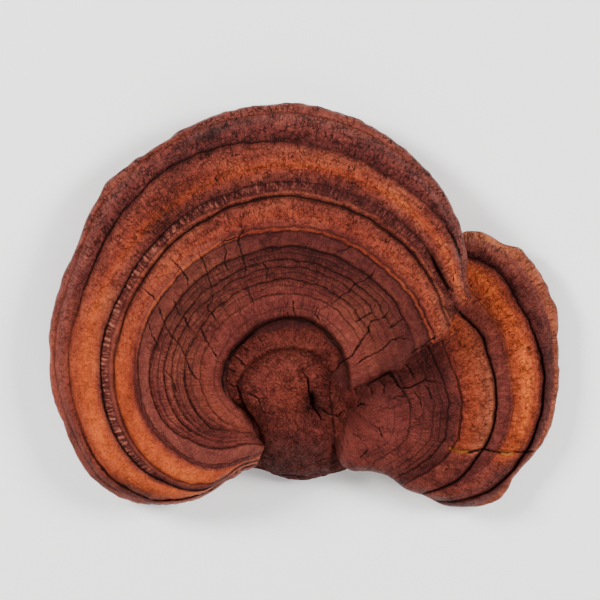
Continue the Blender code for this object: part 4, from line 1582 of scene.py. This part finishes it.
# growth lines that fade beside the stem
INNER_REACH: Points = ((0, 0.25), (22, 0.3), (48, 1), (200, 1), (214, 0.35), (246, 0.2))
LARGE_CAP = Cap(
    name="large_cap",
    centre=(-7, -35.1),
    angles=(5, 30, 38, 45, 60, 75, 90, 110, 130, 150, 170, 190, 205, 218, 230, 238, 246),
    rings=(
        # furrow round the knob of the stem
        (24, 25.9, 26.8, 27.5, 28.7, 29, 29, 27.9, 26.3, 25.1, 23.5, 20, 17.3, 17.3, 19.6, 21.2, 20.4),
        # dark line half way across the inner zone
        (36.8, 39.6, 40.4, 41.2, 42.7, 44.1, 44.7, 43.9, 43.1, 42.3, 40.8, 36.8, 32.1, 25.1, 20.8, 22,
         21.4),
        # dark line inside the flat dark band
        (52.2, 54.2, 55, 55.3, 56.3, 56.9, 57.3, 56.7, 56.1, 55.3, 54.4, 50.6, 43.2, 35.7, 26.7, 23.6,
         22.4),
        # raised lip that ends the dark inner zone
        (60, 61.6, 62, 62.4, 63.4, 64.3, 64.7, 64.3, 63.7, 62.6, 60.6, 56.7, 50.8, 45.3, 38.2, 31.5, 27.5),
        # inner edge of the wrinkled furrow band
        (68.4, 69.6, 71.6, 73.3, 74.9, 76.4, 77.2, 76, 73.3, 71, 68.8, 65.4, 61.4, 55.6, 46.9, 33.1, 28.6),
        # outer edge of the wrinkled furrow band
        (74, 74.2, 76, 79, 81.6, 82.7, 83.1, 81.6, 79.2, 76.3, 74.6, 70.9, 65.9, 59.1, 50, 34.3, 29.5),
        # thin line across the outer orange bands
        (77.6, 79, 81.6, 84.4, 87.2, 88.8, 89.6, 87.6, 85.6, 83.2, 81.7, 77.7, 73, 63.9, 51.3, 35.3, 30.3),
        # deep crease inside the rolled margin
        (78.6, 80.6, 86.4, 90.5, 93.7, 96.8, 98.8, 100.8, 97.2, 90.5, 87.4, 83, 77.9, 68.6, 52.5, 36.2, 31),
        # lip of the margin
        (79.4, 81.9, 88.3, 94, 103.4, 109.3, 112.1, 110.9, 107.4, 99, 95, 87.9, 82.7, 70.9, 53.9, 37, 31.8),
    ),
    rim=(
        (20, 80.2), (30, 82.9), (38, 89.8), (45, 95.8), (55, 102.8), (65, 107.8), (75, 112), (90, 115),
        (100, 114.3), (110, 113), (117, 110.4), (127, 110.5), (135, 107.4), (145, 102.4), (155, 99.8),
        (170, 96.6), (180, 93.6), (190, 89.5), (200, 86.6), (208, 82), (216, 74.6), (224, 63.4),
        (230, 54.9), (235, 43.2), (240, 36), (246, 32.8), (270, 36), (310, 48), (350, 68),
    ),
    # the right lobe's edge over the small cap: angle at each radius
    first_side=(
        (0, -20), (15, -12), (23.2, 0), (27.2, 6.6), (30.5, 8.2), (33, 10.2), (36, 11), (39, 12.9),
        (41, 12.7), (44, 12), (46.5, 13.4), (49, 15.8), (51, 16.6), (53.5, 17.2), (56, 18.9), (59.5, 19.4),
        (62, 19.2), (64, 19.8), (66.4, 20.9), (69, 22.6), (71, 24.4), (72.7, 25.7), (74, 25.8),
        (76.5, 26.4), (79.3, 27.7), (81, 28.6), (82.8, 30.6),
    ),
    last_side=((0, 246), (90, 246)),
    dome=((0, 37.5), (0.25, 36), (0.5, 33), (0.7, 29), (0.85, 24.5), (0.93, 21), (0.975, 17)),
    under=((0, 17), (0.3, 15.5), (0.6, 11.5), (0.82, 5.5), (0.92, 1.2), (0.955, 0)),
    lift=(
        (20, 15), (30, 15), (42, 11), (50, 6), (60, 2), (72, 0), (100, 0.6), (125, 0), (150, 0.8), (180, 0),
        (205, 0.7), (222, 2.5), (240, 6), (300, 8), (350, 13),
    ),
    relief=(
        (0, 0), (0.9, -0.8), (1, -1.6), (1.12, -0.2), (1.4, 0.5), (1.65, -0.3), (1.82, 0.4), (2, -0.4),
        (2.2, 0.3), (2.38, -0.2), (2.48, 0.2), (2.6, -0.4), (2.8, 0.3), (3, -0.6), (3.2, 0), (3.75, 0),
        (3.93, 0.5), (4.05, -0.2), (4.25, 0.3), (4.55, 0.5), (4.85, 0.2), (5, -0.5), (5.25, 0.1), (5.4, 0),
        (5.6, 0), (5.85, -0.1), (6, -0.5), (6.2, 0.1), (6.6, 0.6), (7, 0.3), (7.3, 0.5), (7.75, 0.2),
        (8, -0.4), (8.2, 0.3), (8.5, 0.8), (8.85, 0.5), (9, 0),
    ),
    relief_share=((5, 1), (200, 1), (222, 0.7), (236, 0.35), (246, 0.2)),
    side_roll=((0, 5), (58, 5), (72, 9), (90, 9)),
    middle=(-1.8, -14.6),
    lines=each(
        GrowthLine,
        *((*row, INNER_REACH) for row in (
            (1, 0, 0.6, -0.4, 0.55), (1.3, 0, 0.4, -0.2, 0.35), (1.65, 0, 0.4, -0.35, 0.6),
            (1.84, 0, 0.35, -0.25, 0.45), (2, 0, 0.45, -0.45, 0.8), (2.2, 0, 0.35, -0.3, 0.5),
            (2.38, 0, 0.4, -0.4, 0.7), (2.6, 0, 0.45, -0.45, 0.8), (2.8, 0, 0.35, -0.3, 0.55),
        )),
        (3, 0, 0.5, -0.5, 0.85, ((0, 0.3), (22, 0.4), (48, 1), (246, 0.7))),
        # the lip, and the dark red line outside it
        (4, -0.2, 0.6, 0.8, 0, ((20.5, 0.1), (24, 1), (100, 0.9), (125, 0.15), (246, 0.1))),
        (4, 0.85, 0.45, -0.5, 0.45, ((21.5, 0.1), (24.5, 1), (100, 0.9), (125, 0), (246, 0))),
        (4, -1.1, 0.4, -0.4, 0.6, ((0, 0.5), (120, 0.6), (150, 1), (246, 1))),
        (5, 0, 0.4, -0.6, 1, ((0, 0.1), (28, 0.15), (42, 0.7), (120, 0.8), (150, 0.4), (246, 0.4))),
        (5, 1.2, 0.6, 0.5, 0, ((0, 0.4), (60, 1), (246, 0.6))),
        (5.4, 0, 0.35, -0.2, 0.4, ((0, 0.6), (90, 0.8), (246, 0.5))),
        (6, -0.1, 0.4, -0.7, 1, ((0, 0), (28, 0), (38, 0.5), (60, 0.35), (110, 0.5), (140, 1), (246, 1))),
        (6.5, 0, 0.4, -0.15, 0.15, ((0, 0), (38, 0), (50, 1), (130, 0.6), (180, 0.3), (246, 0.3))),
        (7, 0, 0.35, -0.2, 0.25, ((0, 0), (38, 0), (50, 1), (130, 0.6), (180, 0.3), (246, 0.3))),
        (7.5, 0, 0.35, -0.2, 0.25, ((0, 0), (38, 0), (50, 1), (110, 0.5), (150, 0), (246, 0))),
        # the deep crease inside the rolled margin
        (8, 0, 0.4, -0.6, 1, ((20, 0), (36, 0), (50, 0.25), (88, 0.2), (98, 0.8), (145, 0.8), (158, 0.4),
                              (185, 0.3), (200, 0.8), (246, 1))),
        (8, 0.9, 0.5, 0.4, 0, ((20, 0), (95, 0), (110, 1), (150, 1), (165, 0))),
        # thin layers at the lip
        (9, -0.5, 0.35, 0.25),
        (9, -1.3, 0.3, -0.25, 0.35, ((20, 0.4), (90, 1), (180, 1), (246, 0.6))),
    ),
    # width, depth and darkness (dirt and painted shade) of those that are alike, then their paths
    cuts=(
        *alike(
            0.35, 0.36, 0.25,
            ((238, 222), (243, 228), (242, 233), (238, 238), (240, 247), (243, 258), (246, 268),
             (244, 278)),
            ((248, 287), (250, 295), (254, 305)), ((174, 300), (178, 313), (185, 318), (190, 330)),
        ),
        *alike(
            0.4, 0.48, 0.3,
            ((197, 248), (204, 262), (208, 276), (212, 288), (213, 300), (207, 308), (213, 315),
             (220, 326)),
        ),
        *alike(
            0.3, 0.3, 0.2,
            ((172, 260), (180, 268), (187, 277), (189, 288)), ((143, 288), (152, 296), (158, 303)),
            ((200, 325), (205, 338), (212, 350), (218, 358)),
        ),
        *alike(0.35, 0.3, 0.25, ((156, 300), (163, 320), (170, 335), (180, 345), (186, 357))),
        *alike(
            0.3, 0.24, 0.2,
            ((222, 240), (226, 252), (224, 262), (230, 272)),
            ((355, 322), (362, 318), (372, 312), (376, 304)), ((385, 330), (395, 325), (404, 318)),
        ),
        *alike(
            0.3, 0.24, 0.15,
            ((262, 262), (268, 270), (266, 280)),
            ((217, 247), (220, 243), (237, 237), (243, 232), (240, 223)),
            ((148, 322), (152, 335), (158, 346)), ((293, 300), (293, 308), (296, 317)),
            ((318, 306), (315, 314), (321, 322)), ((337, 252), (345, 250), (352, 246)),
            ((165, 370), (172, 378), (176, 392)), ((186, 357), (190, 370), (198, 380)),
        ),
        *alike(
            0.35, 0.4, 0.8,
            ((225, 192), (227, 203)), ((202, 205), (205, 216)), ((184, 217), (188, 228)),
            ((160, 236), (167, 247)),
            crisp=False,
        ),
        *alike(
            0.45, 0.54, 0.35,
            ((375, 268), (371, 277), (360, 282), (355, 284), (350, 291), (344, 294), (338, 299),
             (330, 305)),
        ),
        *alike(
            0.45, 0.6, 0.4,
            ((330, 375), (336, 368), (342, 362), (352, 356), (360, 343), (368, 333), (370, 322), (385, 317),
             (390, 308)),
        ),
        *alike(
            0.35, 0.36, 0.3,
            ((352, 368), (365, 358), (380, 351), (385, 348), (390, 341), (400, 338), (412, 340)),
        ),
        *alike(1.1, 1.4, 1, LEFT_FURROW),
        *alike(0.5, 0.6, 0.4, TOP_FURROW, ((445, 306), (448, 312), (450, 318))),
        *alike(0.9, 2.4, 0.9, ((432, 256), (438, 268), (445, 280), (451, 291))),
        *alike(3.2, 6.5, 0, ((246, 396), (255, 411), (263, 427), (267, 446)), crisp=False),
        *alike(0.6, 1.1, 0.7, ((446, 226), (452, 236), (458, 248), (461, 260))),
        *alike(1.1, 1.3, 0.4, ((436, 300), (447, 309), (458, 313)), crisp=False),
        *alike(0.35, 0.5, 0.4, ((436, 337), (430, 340), (424, 345), (417, 349), (411, 354))),
        *alike(0.5, 0.6, 0.3, ((433, 328), (435, 334), (433, 341)), crisp=False),
    ),
    # some of these patches are painted sheen, such as the broad light one on the inner zone's left, and
    # painted shade; the rest are stains
    patches=each(
        Patch,
        (278, 322, 34, 7, 5, -0.5), (175, 185, 55, 18, 48, -0.48), (150, 150, 70, 12, 42, 0.05),
        (165, 215, 40, 16, 52, -0.6), (185, 255, 60, 10, 50, -0.35), (205, 195, 30, 12, 40, -0.3),
        (250, 122, 60, 10, 8, -0.2), (104, 303, 4, 16, -15, 0.35), (122, 265, 4, 12, -30, 0.35),
        (85, 450, 34, 9, -60, -0.5), (130, 488, 36, 8, -20, -0.8), (168, 330, 26, 90, 10, 0.45),
        (205, 275, 40, 40, 0, 0.8), (365, 318, 36, 34, 0, 0.95), (146, 340, 6, 50, 5, 0.2),
        (188, 345, 18, 50, 5, 0.3), (112, 340, 5, 60, 5, 0.3), (437, 298, 18, 9, -50, 0.5),
        (444, 318, 15, 8, -50, 0.4), (460, 285, 6, 20, 15, 0.3), (400, 192, 24, 12, -45, 0.55),
        (235, 272, 30, 6, 30, -0.3), (212, 228, 9, 5, 30, -0.6), (308, 212, 9, 5, 0, -0.5),
        (330, 176, 60, 5, -10, -0.35), (225, 408, 30, 20, -20, 0.35), (205, 136, 24, 7, 18, -0.75),
        (256, 158, 9, 4, 10, -0.8), (398, 235, 16, 6, -50, -0.45), (372, 145, 14, 6, -20, -0.35),
        (342, 166, 26, 6, -12, 0.5), (296, 163, 34, 5, 0, 0.25), (120, 310, 16, 40, 20, 0.35),
        (105, 400, 14, 60, 5, 0.3), (175, 470, 40, 14, -35, 0.3), (400, 280, 26, 10, -55, 0.3),
        (370, 370, 30, 12, 28, 0.35), (455, 280, 7, 20, 15, 0.3), (441, 330, 9, 6, 30, 0.45),
        (419, 340, 12, 6, 40, 0.35),
    ),
    wrinkled=(
        (0, 0.25), (1.2, 0.25), (1.5, 0.4), (2, 0.55), (2.9, 0.6), (3.1, 0.12), (4, 0.1), (5.3, 0.15),
        (5.5, 1), (5.95, 1), (6.1, 0.12), (8.5, 0.12), (9, 0.04),
    ),
    wrinkled_reach=((0, 0.7), (40, 0.7), (100, 0.9), (120, 1), (205, 1), (222, 0.4), (246, 0.2)),
    crazed=((0, 0.55), (2, 0.75), (3.9, 0.6), (4.1, 0.12), (9, 0.1)),
    crazed_reach=((0, 0.5), (40, 0.55), (70, 1), (130, 1), (160, 0.75), (246, 0.6)),
    scratched=((0, 0.3), (4, 0.3), (4.3, 0.7), (5, 0.8), (7.8, 0.8), (8.3, 1), (9, 0.9)),
    scratched_reach=((20, 1.3), (130, 1.3), (165, 0.6), (185, 0.35), (246, 0.5)),
    scallop=((20, 0), (35, 0.1), (60, 0.25), (110, 0.45), (170, 0.6), (190, 0.2), (240, 0.1), (300, 0)),
    wavers=each(
        Waver,
        (4.5, 6, 0.35, 42), (2.2, 0.9, 0.4, 15), (4, 0.22, 0.4, 7.5), (5.2, 0.5, 0.3, 20),
        (8, 0.5, 0.45, 26),
    ),
    swells=each(
        Swell,
        (6, 9, 3.4, ((20, 1), (36, 1), (46, 0.4), (56, 0))),
        (4.1, 6, 1.6, ((15, 1), (27, 0.9), (36, 0.3), (42, 0))),
    ),
    first_place=0.72,
    rows=150,
    columns=470,
)

SMALL_CAP = Cap(
    name="small_cap",
    centre=(10.2, -48.5),
    angles=(-38, -30, -22, -15, -8, 0, 8, 16, 24, 32, 40, 48, 56),
    rings=(
        # ledge that ends the dark inner zone
        (36.8, 39.6, 43.2, 46.7, 48.9, 50.5, 51.7, 52.7, 52.7, 53.5, 54.3, 55, 55.4),
        # inner edge of the pitted band
        (44.5, 50.2, 55.8, 58.8, 61.7, 64.7, 66.7, 68, 68.7, 69.5, 68.3, 68.3, 68.3),
        # outer edge of the pitted band
        (44.9, 50.8, 57, 63.9, 68.1, 71.5, 73.6, 75, 76.4, 77.2, 77.2, 77.4, 77.4),
        # groove inside the rolled margin
        (47.8, 59.7, 69, 74.2, 78.8, 82.4, 86, 88.2, 88.9, 89.4, 90.7, 88.4, 81.6),
        # lip of the margin
        (49.8, 64.6, 72.5, 75.9, 81.3, 86.5, 90.1, 93.3, 96.8, 99.2, 99.8, 97.8, 92),
    ),
    rim=(
        (-38, 52), (-30, 67.2), (-25, 71.8), (-22, 74.4), (-18, 75.8), (-13, 78.3), (-8, 82.4), (-2, 87.2),
        (5, 90.8), (15, 94.7), (19, 96.6), (27, 101.4), (32, 103), (37, 103.9), (42, 103.4), (46, 100.7),
        (49, 99.6), (53, 96.9), (56, 92), (58, 89), (90, 62), (150, 42), (230, 42), (290, 48),
    ),
    first_side=(
        (0, -80), (14, -72), (19, -65), (23, -48.5), (29, -40.5), (35, -39), (37.6, -38.9), (45.5, -36),
        (53.5, -34.6), (64.4, -29.4), (69.7, -27.3),
    ),
    last_side=((0, 85), (22.4, 63.4), (34.4, 54.5), (46.8, 50.2), (58, 49.2), (71, 51.8), (89, 56.6)),
    dome=(
        (0, 24.5), (0.25, 24), (0.45, 22), (0.6, 20), (0.75, 18), (0.87, 15.5), (0.94, 13), (0.975, 10.5),
    ),
    under=((0, 9), (0.3, 8.5), (0.6, 6), (0.82, 2.5), (0.92, 0.6), (0.955, 0)),
    lift=((-38, 4), (-28, 2.5), (-15, 0.8), (5, 0), (20, 0.5), (35, 0), (58, 0), (150, 2), (250, 4)),
    relief=(
        (0, 0), (0.4, 0.4), (0.62, -0.2), (0.75, 0.3), (0.86, 0.1), (0.915, -0.4), (0.95, 0), (0.99, 0.5),
        (1.06, -0.3), (1.3, 0.3), (1.6, 0.5), (1.9, 0.1), (2, -0.8), (2.2, -0.4), (2.8, -0.5), (3, -0.3),
        (3.2, 0.5), (3.5, 0.8), (3.85, 0.4), (4, -0.8), (4.2, 0.5), (4.6, 0.8), (5, 0),
    ),
    relief_share=((-38, 0.3), (-31, 0.7), (-24, 1), (56, 1)),
    middle=(58, -38),
    lines=each(
        GrowthLine,
        (0.5, 0, 0.45, -0.2, 0.3), (0.62, 0, 0.45, -0.3, 0.5), (0.72, 0, 0.4, -0.2, 0.35),
        (0.8, 0, 0.4, -0.25, 0.45), (0.86, 0, 0.4, -0.25, 0.5), (0.915, 0, 0.45, -0.4, 0.75),
        (1, 0, 0.45, 0.4), (1, 0.8, 0.4, -0.4, 0.5), (2, 0, 0.5, -0.9, 1),
        (3, 0, 0.45, -0.25, 0.35), (3.5, 0, 0.45, 0.25), (3.7, 0, 0.35, -0.2, 0.25),
        (4, 0, 0.5, -0.8, 1, ((-38, 0.5), (-20, 0.9), (20, 1), (40, 0.8), (56, 0.7))),
        (5, -0.6, 0.35, 0.25),
        (5, -1.5, 0.3, -0.3, 0.4, ((-38, 1), (-20, 0.5), (10, 0.3), (25, 1), (56, 1))),
        (5, -2.8, 0.3, -0.25, 0.3, ((-38, 1), (-20, 0.3), (20, 0), (30, 0.9), (56, 0.8))),
    ),
    cuts=(
        *alike(
            0.4, 0.8, 0.7,
            ((365, 385), (375, 380), (390, 372), (400, 388), (410, 388), (425, 380), (440, 383)),
        ),
        *alike(
            0.35, 0.6, 0.6,
            ((386, 371), (392, 377), (398, 386), (404, 393), (409, 401), (411, 410)),
            ((345, 403), (358, 403), (366, 405)),
        ),
        *alike(
            0.3, 0.4, 0.4,
            ((366, 384), (371, 388), (372, 395)), ((378, 379), (384, 386), (384, 393)),
            ((405, 364), (411, 371), (413, 379)), ((392, 399), (398, 396), (405, 397)),
            ((424, 384), (429, 391), (432, 400)), ((353, 418), (358, 424), (357, 432), (361, 440)),
        ),
        *alike(0.3, 0.4, 0.3, ((414, 392), (420, 399), (421, 408)), ((372, 425), (379, 429), (383, 437))),
        *alike(0.35, 0.5, 0.5, ((360, 458), (368, 450))),
        *alike(
            0.5, 1.2, 0.7,
            ((449, 447), (455, 451), (463, 452), (472, 452), (482, 449), (497, 452), (505, 454), (515, 452),
             (530, 452), (537, 450)),
        ),
        *alike(0.9, 1.2, 0, ((448, 447), (454, 450), (461, 452), (471, 451)), crisp=False, bare=True),
        *alike(0.8, 1, 0, ((500, 453), (507, 455), (515, 452)), crisp=False, bare=True),
        *alike(0.8, 0.6, 0.4, ((418, 470), (430, 466), (445, 463), (460, 462), (472, 460)), crisp=False),
    ),
    patches=each(
        Patch,
        (350, 425, 9, 20, 0, 0.25), (380, 425, 30, 30, 0, 0.1), (410, 385, 40, 30, 30, -0.3),
        (505, 478, 55, 22, 25, -0.15), (450, 474, 40, 15, -8, -0.3), (478, 238, 34, 10, -10, 0.9),
        (484, 470, 12, 7, 20, 0.3), (524, 385, 6, 50, 0, 0.35), (500, 255, 26, 8, -35, 0.45),
        (475, 400, 14, 50, 0, -0.2), (516, 440, 10, 9, 0, -0.45), (365, 452, 14, 8, -10, -0.35),
        (435, 482, 22, 8, -15, -0.15),
    ),
    wrinkled=(
        (0, 0), (0.45, 0), (0.62, 0.5), (0.95, 0.4), (1.05, 0.12), (1.95, 0.15), (2.2, 0.5), (2.9, 0.4),
        (3.1, 0.15), (4, 0.3), (4.4, 0.5), (5, 0.35),
    ),
    wrinkled_reach=((-38, 1), (56, 1)),
    crazed=((0, 0.45), (0.6, 0.6), (0.95, 0.6), (1.05, 0.25), (1.9, 0.25), (2.2, 0.1), (5, 0.1)),
    crazed_reach=((-38, 1), (56, 1)),
    scratched=((0, 0), (0.6, 0.1), (0.95, 0.3), (1.1, 0.9), (1.9, 0.9), (2.2, 0.3), (3.1, 0.9), (5, 0.8)),
    scratched_reach=((-38, 0.8), (0, 0.9), (56, 1.2)),
    scallop=((-40, 0.4), (-20, 0.5), (0, 0.2), (20, 0.5), (56, 0.5), (80, 0), (300, 0)),
    wavers=each(Waver, (2.5, 4, 0.35, 38), (0.8, 0.3, 0.4, 12), (1, 0.1, 0.35, 8), (4, 0.4, 0.35, 22)),
    swells=(),
    first_place=0.28,
    rows=150,
    columns=330,
)

STEM = Stem(
    name="stem",
    centre=(-5.8, -38.3),
    outline=(
        (2, 26.8), (14, 25.2), (25, 22.8), (31, 22.2), (39, 26.8), (47, 29), (59, 30.4), (70, 31.6),
        (91, 31.4), (117, 30.8), (142, 29.8), (162, 27.6), (173, 25.6), (181, 24), (187, 19.6), (197, 17.4),
        (215, 17.3), (228, 19.3), (235, 24.6), (238, 31), (248, 30.2), (263, 31.4), (280, 33), (298, 34),
        (311, 36), (316, 31.6), (323, 26.4), (340, 23.2), (356, 22.4),
    ),
    edge=(
        (2, 27.5), (14, 29), (31, 31.5), (47, 32.5), (90, 33), (130, 33), (162, 32.5), (182, 32), (197, 31),
        (215, 30), (228, 27), (238, 14), (248, 8), (263, 6), (280, 6), (298, 6.5), (311, 9.5), (323, 20),
        (340, 25), (356, 26.5),
    ),
    crown=42.5,
    knob_power=3.4,
    foot_power=1.8,
    spread_power=1.5,
    folds=each(
        Fold,
        (
            ((-25, -31), (-18.3, -22.5), (-11.6, -19.4), (-3.8, -18.6), (2.5, -19.8), (7.6, -22.9),
             (9, -27.6)),
            2.4, 2,
        ),
        (((-0.6, -26.7), (1.6, -33.5), (2.9, -40), (6.4, -44.7), (8.7, -45.9)), 3.2, 2),
        (((8.7, -28.3), (9.1, -41.6), (10, -55.7)), 2.6, 1.2),
        (((12.1, -57), (14.1, -63.5)), 5, 3.4),
        (((-25.2, -31.8), (-24.1, -37.7), (-20.6, -43.5), (-18.3, -53.5)), 2.6, 1.6),
    ),
    cut_centre=(-1, -57.6),
    cut_radii=(17.5, 12.6),
    wrinkle_centre=(-7, -30),
    cuts=(
        *alike(
            0.5, 1.1, 0.6,
            ((301, 371), (308, 378), (309, 386), (308, 391), (312, 397), (311, 404), (316, 411), (321, 419),
             (327, 421)),
        ),
        *alike(1.6, 1.6, 1, ((311, 392), (313, 398), (314, 404)), crisp=False),
        *alike(0.6, 0.7, 0.5, ((328, 366), (330, 378), (329, 390), (330, 404), (332, 418)), crisp=False),
        *alike(0.8, 1, 0.6, ((332, 418), (334, 436), (335, 452)), crisp=False),
        *alike(0.5, 0.7, 0.7, ((320, 408), (329, 414), (337, 416), (343, 411))),
        *alike(0.5, 0.8, 0.7, ((333, 376), (345, 382), (355, 388), (358, 396))),
        *alike(0.5, 1, 0.9, ((363, 348), (355, 354), (346, 360), (339, 369), (333, 377))),
        *alike(
            0.6, 0.9, 0.5,
            ((239, 386), (241, 396), (245, 406), (250, 415), (255, 428), (258, 441), (256, 456)),
        ),
        *alike(1, 1.2, 1, LEFT_FURROW),
        *alike(0.8, 0.6, 0.4, TOP_FURROW, crisp=False),
        *alike(
            1.3, 0.8, 0.35,
            ((240, 386), (243, 373), (256, 361), (273, 353), (295, 351), (311, 354), (324, 363),
             (328, 374)),
            crisp=False,
        ),
        *alike(
            0.3, 0.4, 0.4,
            ((250, 330), (257, 334), (262, 343)), ((248, 392), (258, 398), (262, 410), (272, 415)),
        ),
        *alike(1, 0.6, 0.3, ((290, 416), (303, 412), (311, 404)), crisp=False),
        *alike(0.5, 0.5, 0.7, ((282, 474), (292, 475), (305, 477))),
        *alike(0.3, 0.4, 0.6, ((241, 345), (247, 350), (252, 352))),
        *alike(0.3, 0.4, 0.5, ((232, 354), (240, 360), (246, 368)), ((228, 368), (236, 372))),
        *alike(0.4, 0.5, 0.6, ((230, 384), (240, 388))),
    ),
    # some of these patches are painted shade on the leaning stem's lower side; the rest are stains and tone
    patches=each(
        Patch,
        (276, 368, 26, 18, 0, 0.4), (300, 350, 26, 10, -10, 0.3), (337, 403, 8, 14, 0, 0.35),
        (337, 456, 10, 14, 20, 0.1), (290, 445, 36, 26, 0, -0.1), (312, 402, 10, 14, 0, -0.7),
        (275, 392, 30, 14, 0, -0.25),
    ),
    furrow_reach=(
        (0, 0.1), (40, 0.3), (100, 0.6), (140, 1), (190, 1), (215, 0.6), (232, 0.2), (240, 0), (300, 0),
        (330, 0.1),
    ),
    ridge=((-71, 6), (-66, 16), (-60, 25), (-54, 32.5), (-48, 37), (-40, 41), (-30, 42.5)),
    back=((-71, -1), (-50, -4), (-38, -6)),
    half_width=((-71, 24), (-60, 19), (-50, 17), (-38, 17)),
)

# ---- Their colours ----
LARGE_CRUST = LacqueredCrust(
    name="lacquered crust, red banded",
    rings=9,
    top_bands=(
        (0.9, WINE), (1.04, SOOT), (1.15, LIVER), (1.65, LIVER), (2, MAROON), (3, WINE), (3.15, MAROON),
        (3.85, WINE), (3.96, BRICK), (4.02, BRICK), (4.06, LIVER), (4.45, BRICK), (4.85, CHESTNUT),
        (5.03, SOOT), (5.16, CHESTNUT), (5.32, CHESTNUT), (5.46, MAROON), (5.95, WINE), (6.15, MAROON),
        (6.5, CHESTNUT), (6.75, BRICK), (7, RUST), (7.25, BRICK), (7.75, CHESTNUT), (8, WINE),
        (8.45, LIVER), (8.8, UMBER), (8.95, CHESTNUT), (9.15, UMBER), (9.3, CLAY), (9.5, LIVER),
        (9.8, UMBER),
    ),
    left_bands=(
        (0.9, WINE), (1.04, SOOT), (1.16, LIVER), (1.5, CHESTNUT), (2, MAROON), (2.5, LIVER), (3, LIVER),
        (3.2, UMBER), (3.85, UMBER), (3.97, WINE), (4.08, LIVER), (4.25, RUST), (4.5, SIENNA),
        (4.88, SIENNA), (5.03, MAROON), (5.16, CHESTNUT), (5.3, LIVER), (5.5, MAROON), (5.93, WINE),
        (6.02, SOOT), (6.16, CHESTNUT), (6.4, SIENNA), (6.8, AMBER), (7.3, SIENNA), (7.75, RUST),
        (8.1, CHESTNUT), (8.5, CHESTNUT), (8.9, CHESTNUT), (9.1, BRICK), (9.3, UMBER), (9.5, LIVER),
        (9.8, UMBER),
    ),
    turn_of_bands=(140, 170),
)

SMALL_CRUST = LacqueredCrust(
    name="lacquered crust, orange banded",
    rings=5,
    top_bands=(
        (0.2, LIVER), (0.6, LIVER), (0.8, MAROON), (0.9, WINE), (0.98, MAROON), (1.03, CHESTNUT),
        (1.15, BRICK), (1.35, RUST), (1.88, CLAY), (1.98, WINE), (2.1, MAROON), (2.5, LIVER),
        (2.85, MAROON), (3.03, RUST), (3.25, SIENNA), (3.5, AMBER), (3.75, RUST), (3.93, MAROON), (4, SOOT),
        (4.1, WINE), (4.35, WINE), (4.65, MAROON), (4.9, LIVER), (5, CLAY), (5.6, UMBER),
    ),
    left_bands=(
        (0.2, MAROON), (0.6, WINE), (0.75, MAROON), (0.9, WINE), (0.98, MAROON), (1.1, LIVER),
        (1.35, CHESTNUT), (1.65, RUST), (1.88, BRICK), (1.98, MAROON), (2.1, MAROON), (2.5, CHESTNUT),
        (2.9, CHESTNUT), (3.05, BRICK), (3.3, RUST), (3.5, SIENNA), (3.8, BRICK), (3.95, MAROON),
        (4.1, WINE), (4.3, MAROON), (4.65, CHESTNUT), (4.85, UMBER), (5, CLAY), (5.3, CLAY), (5.6, UMBER),
    ),
    turn_of_bands=(14, 42),
    low_bands=(
        (0.2, LIVER), (0.6, LIVER), (0.85, MAROON), (0.98, WINE), (1.1, LIVER), (1.5, CHESTNUT),
        (1.88, LIVER), (1.98, SOOT), (2.15, WINE), (2.8, MAROON), (3.05, LIVER), (3.4, CHESTNUT),
        (3.75, UMBER), (3.92, MAROON), (4, SOOT), (4.12, WINE), (4.5, LIVER), (4.9, UMBER), (5, CLAY),
        (5.6, UMBER),
    ),
    turn_of_low_bands=(-8, -13),
)

WORN_BANDS: Bands = ((0, CHESTNUT), (0.45, LIVER), (0.7, MAROON), (1, MAROON), (2, WINE))
STEM_CRUST = LacqueredCrust(
    name="old crust, dark and worn",
    rings=1,
    top_bands=WORN_BANDS,
    left_bands=WORN_BANDS,
    turn_of_bands=(0, 1),
    mottle=0.8,
    roughness=0.5,
    specular=0.05,
)


# ---- Putting it together ----
def add_piece(
    maker: Cap | Stem, relief: CrustRelief, crust: LacqueredCrust, below: PoreLayer | CutFlesh
) -> bpy.types.Object:
    """Builds and dresses one piece, which stands for the CAD node of its name.

    Args:
        maker: the piece's shape.
        relief: the relief raised on it.
        crust: finish of its top.
        below: finish of its pore side or cut.

    Returns:
        The piece.
    """
    skin = maker.skin()
    bare = skin.mesh(f"{maker.name}_crust")
    piece = relief.raise_on(bare, crust.build(), below.build())
    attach(piece, "root")
    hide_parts(maker.name)
    triangles = sum(len(face.vertices) - 2 for face in piece.data.polygons)
    LOG.info("%s: %d triangles", piece.name, triangles)
    return piece


def main() -> None:
    """Builds the mushroom and the studio, and notes the visual model's size."""
    logging.basicConfig(level=logging.INFO, format="%(message)s")
    VIEW.place()
    Studio().build()
    add_piece(LARGE_CAP, CrustRelief(), LARGE_CRUST, PoreLayer())
    add_piece(SMALL_CAP, CrustRelief(lump_height=0.4), SMALL_CRUST, PoreLayer())
    worn = CrustRelief(lump_height=1.2, lump_size=7.0, bump_height=0.5, wrinkle_height=2.6, wrinkle_width=2.8)
    add_piece(STEM, worn, STEM_CRUST, CutFlesh())
    bpy.context.view_layer.update()


if __name__ == "__main__":
    main()
